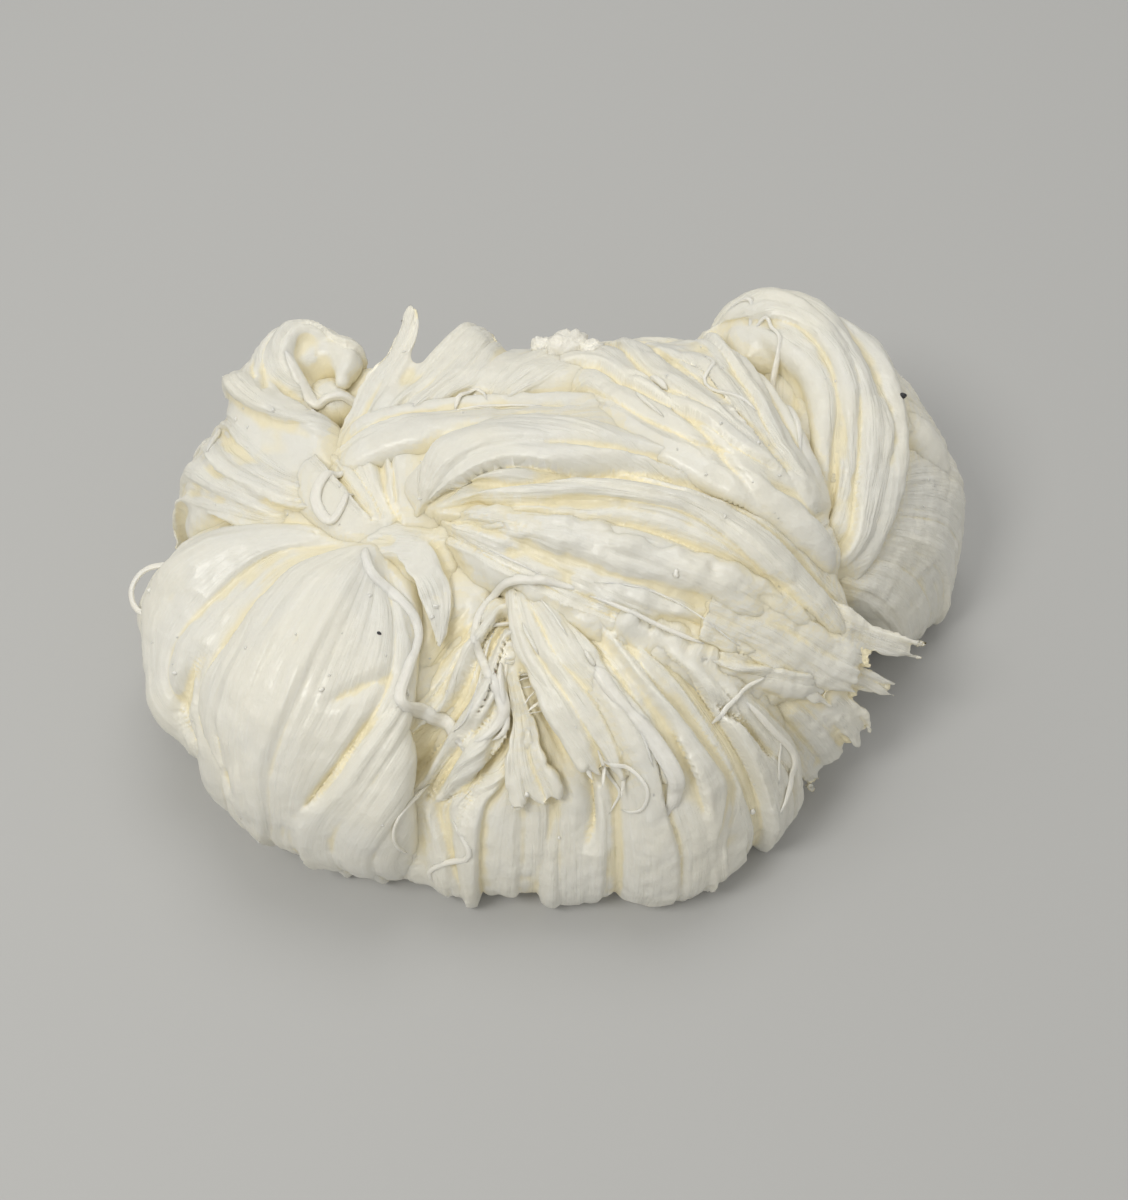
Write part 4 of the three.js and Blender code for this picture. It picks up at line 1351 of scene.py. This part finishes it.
MAIN_ROPE_LINES = {"guides": [
    [(-24, 9, 50), (-18, 21, 51), (3, 22, 55), (28, 7, 57), (47, -2, 48), (57, -11, 34)],
    [(-23, 8, 50), (-11, 12, 57), (0, 11, 58), (31, 2, 56), (51, -11, 41), (55, -14, 35)],
    [(-22, 7, 50), (-5, 6, 56), (16, 3, 57), (28, -1, 54), (47, -14, 41), (52, -16, 38)],
    [(-20, 6, 50), (-2, 1, 54), (8, -1, 55), (31, -8, 50), (41, -13, 44), (51, -15, 38)],
]}
MAIN_ROPE_STRANDS = {
    **MAIN_ROPE_LINES, **BAND, "count": 5, "wide": 10, "thick": 5, "sunk": 0.35, "lean": 0.3,
}
FRAYED_ROPE_LINES = {"guides": [
    [(-21, 7, 50), (-8, 4, 54), (8, 0, 56), (28, -6, 53), (44, -11, 46), (66, -13, 33)],
    [(-21, 5, 48), (-7, -4, 50), (11, -14, 49), (30, -21, 44), (53, -21, 35), (61, -19, 32)],
    [(-21, 2, 47), (-7, -6, 48), (10, -15, 47), (27, -23, 43), (48, -24, 34), (56, -24, 29)],
]}
FRAYED_ROPE_STRANDS = {
    **FRAYED_ROPE_LINES, **STRINGY, "ragged": (0.03, 0.22),
    "count": 9, "wide": 4, "thick": 3.4, "sunk": 0.25, "lean": 0.5,
}
RIGHT_BAND_LINES = {"guides": [
    [(8, 30, 52), (22, 18, 54), (30, 13, 55), (38, 6, 55), (53, -4, 43), (57, -8, 38)],
    [(9, 34, 51), (22, 21, 56), (38, 9, 55), (45, 6, 51), (50, 0, 46)],
    [(13, 45, 45), (20, 32, 52), (35, 15, 56), (47, 6, 50)],
    [(19, 48, 42), (27, 33, 54), (40, 14, 54), (46, 8, 51)],
    [(24, 45, 48), (31, 37, 54), (42, 14, 54), (47, 8, 50)],
    [(33, 54, 40), (37, 40, 53), (44, 17, 54), (48, 9, 50)],
]}
RIGHT_BAND_STRANDS = {
    **RIGHT_BAND_LINES, **BAND, "count": 8, "wide": 7.5, "thick": 4, "sunk": 0.25, "lean": 0.4,
}
LOOP_LINES = {"guides": [
    [(30, 56, 30), (46, 60, 38), (64, 52, 40), (72, 33, 38), (70, 16, 35), (60, 1, 30), (54, -6, 28)],
    [(33, 54, 42), (46, 57, 50), (59, 48, 52), (66, 31, 49), (66, 20, 47), (59, 4, 39), (53, -3, 40)],
    [(34, 52, 43), (48, 52, 52), (59, 38, 51), (60, 19, 47), (55, 3, 40), (51, -4, 42)],
    [(36, 51, 44), (49, 47, 51), (57, 35, 50), (56, 16, 46), (50, -1, 43)],
    [(39, 49, 47), (47, 43, 51), (53, 34, 50), (53, 20, 47), (51, 4, 44)],
]}
LOOP_STRANDS = {
    **LOOP_LINES, **BAND, "count": 6, "wide": 6.5, "thick": 4, "sunk": 0.25, "lean": 0.4,
}
FRAYED_STRIP_LINES = {"thick": 5, "torn": 0.14, "teeth": 7, "rag": 0.09, "raised": 1.2, "guides": [
    [(-8, -9, 46), (-8, -15, 44), (-7, -20, 43), (-4, -25, 42),
     (-2, -30, 41), (2, -36, 38), (6, -41, 34)],
    [(-5, -10, 47), (-3, -17, 46), (-1, -23, 45), (2, -28, 43),
     (5, -33, 41), (9, -38, 37), (12, -42, 32)],
    [(-3, -11, 47), (1, -17, 47), (4, -23, 46), (8, -27, 44),
     (12, -32, 41), (15, -38, 37), (17, -43, 31)],
    [(-1, -12, 47), (4, -18, 46), (8, -23, 45), (12, -28, 43),
     (15, -32, 41), (19, -37, 37), (21, -42, 31)],
]}
POINTED_STRIP = {"thick": 4, "torn": 0.12, "teeth": 3, "rag": 0.12, "raised": 0.8, "guides": [
    [(-9, -21, 43), (-8, -30, 38), (-9, -37, 34), (-9, -44, 28)],
    [(-7, -21, 43), (-4, -30, 39), (-2, -37, 35), (2, -43, 30)],
]}

# Each region is one piece. Its "body" is softened in so many rounds of "soften", its "strands"
# lie on that, and the skin of both is softened in rounds of "smooth". Its fibres follow its
# "lines". "Relief" and "bands" have a spacing, a length along the fibres and a depth, "lumps" a
# spacing and a depth, "creases" a route, a width and a depth.
REGIONS = {
    "back_skeins": {
        "body": [(fan, BACK_DRAPE), (rope, LOOP_LINING), (single, LOOP_BED), (core, CORE)],
        "soften": 40, "voxel": 0.8, "lines": [BACK_LINES, RIGHT_FLANK_LINES],
        "relief": [(2.4, 40, 0.35)], "bands": [(11, 60, 1.7), (3.5, 45, 0.6)],
    },
    "back_rope": {
        "body": [(rope, BACK_ROPE)], "soften": 8, "voxel": 0.6, "lines": [BACK_ROPE_LINES],
        "relief": [(2.2, 35, 0.35)], "bands": [(7, 80, 1.5), (3, 45, 0.4)],
    },
    "left_lobe": {
        "body": [(fan, LEFT_ROLL), (fan, LEFT_POUCH)], "soften": 40, "lines": [LEFT_LINES],
        "relief": [(3.0, 50, 0.25), (1.5, 30, 0.15)], "lumps": [(14, 0.9), (4, 0.3), (2.0, 0.14)],
        "bands": [(14, 70, 1.5), (4.5, 55, 0.25)],
        "creases": [
            ([(-63, -13, 38), (-67, -17, 35), (-69, -20, 31),
              (-70, -22, 27), (-69, -26, 25), (-67, -29, 27)], 2.5, 1.8),
            ([(-62, -27, 36), (-61, -29, 35), (-60, -33, 29), (-58, -37, 24)], 2.5, 1.6),
            ([(-27, -28, 41), (-33, -32, 39), (-39, -39, 35), (-46, -41, 24)], 2.2, 1.8),
            ([(-27, -23, 43), (-35, -26, 42), (-41, -28, 40)], 2.2, 1.2),
        ],
    },
    "left_shoulder": {
        "body": [(fan, LEFT_FLANK), (single, TOP_LEFT_LOBE), (single, TOP_LEFT_CURL)], "soften": 25,
        "lines": [FLANK_LINES, TOP_LEFT_LINES],
        "strands": [(sheaf, TOP_LEFT_STRANDS), (sheaf, FLANK_STRANDS), (fray, LOBE_TEETH)],
        "smooth": 4, "relief": [(2.6, 35, 0.4), (1.4, 22, 0.25)], "bands": [(7, 50, 1.1)],
    },
    "front_strips": {
        "body": [(fan, FRONT_LEFT_STRIPS), (fan, FRONT_RIGHT_BUNDLE), (single, KNOT_BED)], "soften": 30,
        "lines": [FRONT_LINES], "relief": [(1.5, 22, 0.25)], "voxel": 0.5,
        "bands": [(7.5, 70, 1.9), (2.6, 40, 0.5)],
        "creases": [
            ([(26, -28, 41), (29, -30, 39), (32, -31, 34), (35, -33, 30), (38, -34, 27)], 1.6, 4.0),
            ([(4, -33, 40), (5, -37, 37), (5, -40, 34), (5, -45, 29), (5, -48, 20)], 3.0, 4.0),
            ([(-18, -44, 22), (-14, -38, 29), (-11, -33, 35), (-8, -28, 38)], 2.2, 2.4),
            ([(-26, -43, 26), (-19, -35, 31), (-13, -30, 36), (-9, -26, 40)], 2.2, 2.4),
            ([(-18, -17, 41), (-14, -15, 43), (-12, -10, 43), (-10, -7, 45)], 2.0, 2.0),
        ],
    },
    "frayed_strip": {
        "strands": [(slab, FRAYED_STRIP_LINES), (slab, POINTED_STRIP)], "smooth": 2, "voxel": 0.4,
        "relief": [(2.0, 12, 0.4), (1.1, 6, 0.2)], "bands": [(3.8, 35, 0.8)],
        "lines": [FRAYED_STRIP_LINES, POINTED_STRIP],
    },
    "main_rope": {
        "body": [(rope, MAIN_ROPE)], "soften": 12, "strands": [(sheaf, MAIN_ROPE_STRANDS)], "smooth": 14,
        "lines": [MAIN_ROPE_LINES], "relief": PULLED, "bands": [(13, 100, 2.6), (5, 60, 0.45)],
        "creases": [
            ([(-20, 8, 53), (-15, 8, 55), (-5, 8, 58),
              (5, 9, 59), (15, 9, 58), (28, 6, 56), (40, 1, 52)], 2.6, 3.2),
            ([(-5, 15, 58), (5, 15, 59), (18, 13, 59), (30, 8, 57), (43, 5, 52), (54, 2, 40)], 2.2, 2.4),
            ([(-17, 6, 52), (-8, 3, 53), (5, 0, 55),
              (17, -2, 55), (30, -7, 51), (42, -11, 45)], 2.4, 2.6),
        ],
    },
    "frayed_rope": {
        "body": [(rope, FRAYED_ROPE)], "soften": 6, "strands": [(sheaf, FRAYED_ROPE_STRANDS)],
        "lines": [FRAYED_ROPE_LINES], "relief": [(2.0, 12, 0.7), (1.2, 6, 0.4)], "bands": [(7, 50, 1.3)],
        "lumps": [(9, 0.5), (3.2, 0.6), (1.5, 0.25)],
    },
    "upper_band": {
        "body": [(rope, UPPER_BAND)], "soften": 6, "relief": [(2.4, 30, 0.4), (1.4, 15, 0.3)],
        "lines": [UPPER_BAND_LINES], "bands": [(5, 50, 0.7)],
    },
    "right_bands": {
        "body": [(rope, RIGHT_UPPER_BANDS)], "soften": 15,
        "strands": [(sheaf, RIGHT_BAND_STRANDS)], "smooth": 8,
        "lines": [RIGHT_BAND_LINES], "relief": PULLED, "bands": [(9, 90, 1.8)],
        "creases": [
            ([(9, 33, 51), (19, 31, 53), (28, 18, 57), (35, 7, 55), (41, 2, 52)], 1.8, 1.6),
            ([(17, 42, 49), (27, 38, 54), (36, 22, 56), (42, 11, 53), (47, 5, 50)], 1.8, 1.6),
            ([(27, 50, 46), (37, 47, 47), (43, 31, 54), (46, 19, 52), (50, 9, 48)], 1.8, 1.4),
        ],
    },
    "right_loop": {
        "body": [(rope, RIGHT_LOOP)], "soften": 15, "strands": [(sheaf, LOOP_STRANDS)], "smooth": 8,
        "lines": [LOOP_LINES], "relief": PULLED, "bands": [(9, 90, 1.6)],
    },
    "right_fan": {
        "body": [(slab, FAR_FAN), (slab, RIGHT_BACK_FLAP)], "soften": 4, "lines": [FAR_FAN, RIGHT_BACK_FLAP],
        "bands": [(9, 60, 0.6), (2.4, 45, 0.3)], "relief": [(1.3, 30, 0.15)],
    },
    "leaves": {
        "body": [(slab, SPIKE_FLAP), (slab, FIRST_LEAF), (slab, SECOND_LEAF), (single, LEAF_BED)],
        "soften": 3, "smooth": 2, "lines": [SPIKE_FLAP, FIRST_LEAF, SECOND_LEAF],
        "relief": [(1.5, 22, 0.2)], "bands": [(4.5, 40, 0.9)], "lumps": [(9, 0.7), (2.2, 0.15)],
    },
    "draped_strings": {
        "body": [(single, DRAPED_STRINGS), (single, BULB_BED), (single, GAP_BED)],
        "soften": 14, "lines": [DRAPED_LINES],
        "relief": [(1.5, 20, 0.15)], "bands": [(3.2, 50, 1.7)],
    },
    "knot": {
        "body": [(single, {**KNOT, "route": route, "wide": wide}) for wide, route in KNOT_CORDS]
        + [(crumb, {"size": size, "place": place}) for size, place in KNOT_LUMPS],
        "soften": 3, "strands": [(slab, KNOT_STRIP)], "lines": [KNOT_LINES, KNOT_STRIP],
        "relief": [(1.6, 12, 0.2)], "voxel": 0.4, "smooth": 4, "lumps": [(4, 0.5), (2, 0.35)],
    },
    "torn_ends": {
        "strands": [(slab, form) for form in TORN_ENDS], "voxel": 0.4, "smooth": 2, "lines": TORN_ENDS,
        "relief": [(1.4, 20, 0.25)], "bands": [(3.2, 40, 0.5)], "lumps": [(4, 0.5), (1.6, 0.2)],
    },
}
DETAIL = {
    "threads": [
        (thread, {"wide": 2.4, "raised": -0.1, "route": [
            (-34, 3, 46), (-33, 0, 45), (-31, -5, 44), (-27, -9, 44), (-24, -13, 42),
            (-25, -20, 42), (-27, -27, 41), (-24, -29, 38), (-19, -32, 36), (-15, -35, 33)]}),
        (thread, {"wide": 2.2, "raised": 0.2, "route": [
            (6, -11, 48), (-1, -9, 47), (-8, -8, 46), (-12, -10, 45), (-14, -15, 44), (-13, -20, 42),
            (-10, -25, 40), (-9, -29, 38), (-12, -32, 36), (-16, -33, 34)]}),
        (thread, {"wide": 2.8, "raised": -0.1, "route": [
            (6, -22, 44), (10, -28, 42), (14, -32, 40),
            (17, -35, 37), (20, -39, 33), (20, -43, 30), (18, -46, 27)]}),
        (thread, {"wide": 1.0, "raised": 0.7, "route": [
            (28, -33, 38), (30, -29, 39), (33, -26, 39), (37, -24, 39)]}),
        (thread, {"wide": 1.3, "raised": 0.5, "route": [
            (33, -28, 38), (38, -31, 33), (43, -33, 26), (42, -36, 20), (38, -38, 17)]}),
        (thread, {"wide": 0.8, "raised": 0.4, "route": [
            (8, -38, 36), (12, -37, 34), (15, -40, 32), (14, -43, 29), (11, -44, 28)]}),
        (thread, {"wide": 0.8, "raised": 0.4, "route": [
            (7, -36, 37), (9, -40, 33), (11, -42, 31), (9, -46, 28)]}),
        (thread, {"wide": 2.4, "raised": 0.2, "route": [
            (-49, 45, 42), (-46, 41, 42), (-41, 40, 42), (-37, 42, 42), (-35, 46, 42)]}),
        (thread, {"wide": 2.0, "raised": 0.3, "route": [
            (-37, 19, 46), (-41, 17, 47), (-43, 12, 47), (-40, 7, 46), (-37, 9, 46), (-36, 14, 47)]}),
        (thread, {"wide": 1.0, "raised": 0.5, "route": [
            (-17, 31, 50), (-16, 35, 52), (-13, 37, 51), (-11, 33, 52)]}),
        (thread, {"wide": 1.4, "raised": 0.3, "route": [
            (36, 52, 47), (41, 46, 48), (44, 38, 47), (46, 28, 50), (47, 15, 51)]}),
        (thread, {"wide": 1.3, "free": True, "route": [
            (-70, 8, 34), (-77, 8, 32), (-80, 5, 30), (-79, 1, 29), (-75, -1, 30), (-69, 1, 31)]}),
    ],
    "strings": [
        (strings, {**FRONT_LINES, "count": 5}),
        (strings, {**FRAYED_STRIP_LINES, "count": 4, "string_wide": 0.8, "sway": 0.3}),
        (strings, {**FRAYED_ROPE_LINES, "count": 3, "string_wide": 0.6, "sway": 0.4}),
        (strings, {**UPPER_BAND_LINES, "count": 2, "sway": 0.4}),
        (strings, {**RIGHT_BAND_LINES, "count": 3}),
        (strings, {**FLANK_LINES, "count": 2}),
    ],
    "torn_edges": [
        (fray, {"edge": [(2, -36, 39), (8, -38, 36), (14, -38, 36), (18, -36, 38)],
                "way": (0.2, -0.8, -0.6), "spread": 0.45, "count": 12, "long": (2, 6), "wide": 1.4}),
        (fray, {"edge": [(-8, -14, 44), (-5, -22, 42), (-1, -31, 40)],
                "way": (-0.9, -0.5, 0.1), "spread": 0.4, "count": 14, "long": (2.2, 4.5), "wide": 0.5}),
    ],
}
CHALKY = [
    (crumb, {"size": (9, 7, 6), "place": (5, 47, 47)}),
    (crumb, {"size": (5, 4, 5), "place": (10, 45, 48)}),
    (crumb, {"size": (4, 4, 3), "place": (0, 48, 47)}),
]
SEEDS = [
    (seed_grain, {"place": (69, 32, 47), "way": (1, 0.5, -0.5), "long": 2.0, "thick": 1.2}),
    (seed_grain, {"place": (-30, -16, 44), "way": (1, -0.6, -0.1), "long": 0.9, "thick": 0.6}),
]


def skein_of(parts, seed):
    """The strands of a list of makers and forms."""
    made = Skein()
    for k, (maker, form) in enumerate(parts):
        maker(made, form, seed + 20 * k)
    return made


def make_region(name, region, seed):
    """A region of the hank: its body, softened, and its strands, all grown together and drawn
    out along the fibres of its guide lines."""
    strands = skein_of(region.get("strands", []), seed)
    lines = skein_of([(sheet, form) for form in region["lines"]], seed + 5)
    whole = Skein()
    if "body" in region:
        parts = skein_of(region["body"], seed + 300)
        body = fuse(name + "_body", parts, parts, BODY_VOXEL, region["soften"])
        whole.add_mesh(body.data)
        bpy.data.objects.remove(body)
    whole.add_skein(strands)
    voxel, soften = region.get("voxel", SKIN_VOXEL), region.get("smooth", SKIN_SOFTENING)
    piece = fuse(name, whole, lines, voxel, soften)
    pull(piece, region, seed)
    return piece


CURD = curd("curd")
CURD_SMOOTH = curd("curd_smooth", fibre_depth=0.5, crumb_depth=0.3)
# The finish of the thin pieces (threads, strings, torn edges, grains and crumbs) is painted a little lighter
# all over, standing in for the light bounced between the larger skins, which these pieces get less of.
CURD_THREAD = curd("curd_thread", fibre_depth=0.6, crumb_depth=0.6, painted_lift=(0.03, 0.03, 0.045))
SOLID = tree_of(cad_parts["cheese"].data)
PIECES = []  # the skins made so far, as surfaces to rest threads on
MADE = []  # every piece, in the order made


def finish_piece(piece, material):
    """Hands a piece to the frame: it rides with the hank and stands for its solid."""
    piece.data.materials.clear()
    piece.data.materials.append(material)
    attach(piece, "root")
    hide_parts("cheese")
    MADE.append(piece)


for seed, (name, region) in enumerate(REGIONS.items()):
    piece = make_region(name, region, 7 + 40 * seed)
    # the hollows carry painted shade in the curd's finish
    mark_hollows(piece)
    finish_piece(piece, CURD_SMOOTH if name == "left_lobe" else CURD)
    PIECES.append(tree_of(piece.data))
skins = MADE[:]
for seed, (name, parts) in enumerate(DETAIL.items()):
    finish_piece(loose(name, skein_of(parts, 5000 + 300 * seed)), CURD_THREAD)
finish_piece(loose("curd_grains", grains(skins[:-1], 220, 77)), CURD_THREAD)
finish_piece(loose("chalky_crumb", skein_of(CHALKY, 9000)), CURD_THREAD)
finish_piece(loose("seeds", skein_of(SEEDS, 9500)), seed_coat())
# the gaps carry painted shade in the curd's finish
mark_gaps(skins)


# ---- the studio ------------------------------------------------------------------------------
def studio():
    """A pale floor, soft light from above and the left, and the camera."""
    half = 6.0
    corners = [(-half, -half, 0), (half, -half, 0), (half, half, 0), (-half, half, 0)]
    floor_mesh = bpy.data.meshes.new("floor")
    floor_mesh.from_pydata(corners, [], [(0, 1, 2, 3)])
    floor = bpy.data.objects.new("floor", floor_mesh)
    bpy.context.scene.collection.objects.link(floor)
    r = Recipe("floor")
    pale = {"Base Color": (0.50, 0.50, 0.49, 1), "Roughness": 0.7}
    shader = r.node("ShaderNodeBsdfPrincipled", None, pale)[0]
    r.node("ShaderNodeOutputMaterial", None, {"Surface": shader})
    floor.data.materials.append(r.material)

    world = bpy.data.worlds.new("studio")
    world.use_nodes = True
    background = world.node_tree.nodes["Background"]
    background.inputs["Color"].default_value = (1.0, 0.99, 0.96, 1)
    background.inputs["Strength"].default_value = 0.5
    bpy.context.scene.world = world

    def lamp(name, place, aim, size, power, tint=(1, 1, 1)):
        """A round lamp at a place, turned towards an aim."""
        light = bpy.data.lights.new(name, "AREA")
        light.shape, light.size, light.energy, light.color = "DISK", size, power, tint
        body = bpy.data.objects.new(name, light)
        body.location = place
        body.rotation_euler = (Vector(aim) - Vector(place)).to_track_quat("-Z", "Y").to_euler()
        bpy.context.scene.collection.objects.link(body)

    lamp("key", (-0.42, -0.25, 0.75), (0, 0, 0.02), 0.30, 2.5, (1, 0.985, 0.95))
    lamp("top", (0.05, 0.35, 0.80), (0, 0, 0.02), 0.5, 1.45)

    camera = bpy.data.objects.new("camera", bpy.data.cameras.new("camera"))
    camera.location = Vector((-6.4, -169.5, 293.0)) * MM
    aim = Vector((0.0, 0.5, 24.0)) * MM
    camera.rotation_euler = (aim - camera.location).to_track_quat("-Z", "Y").to_euler()
    camera.data.sensor_width = 36
    camera.data.lens = 49
    camera.data.clip_start = 0.01
    bpy.context.scene.collection.objects.link(camera)
    bpy.context.scene.camera = camera
    bpy.context.scene.view_settings.view_transform = "Standard"


studio()
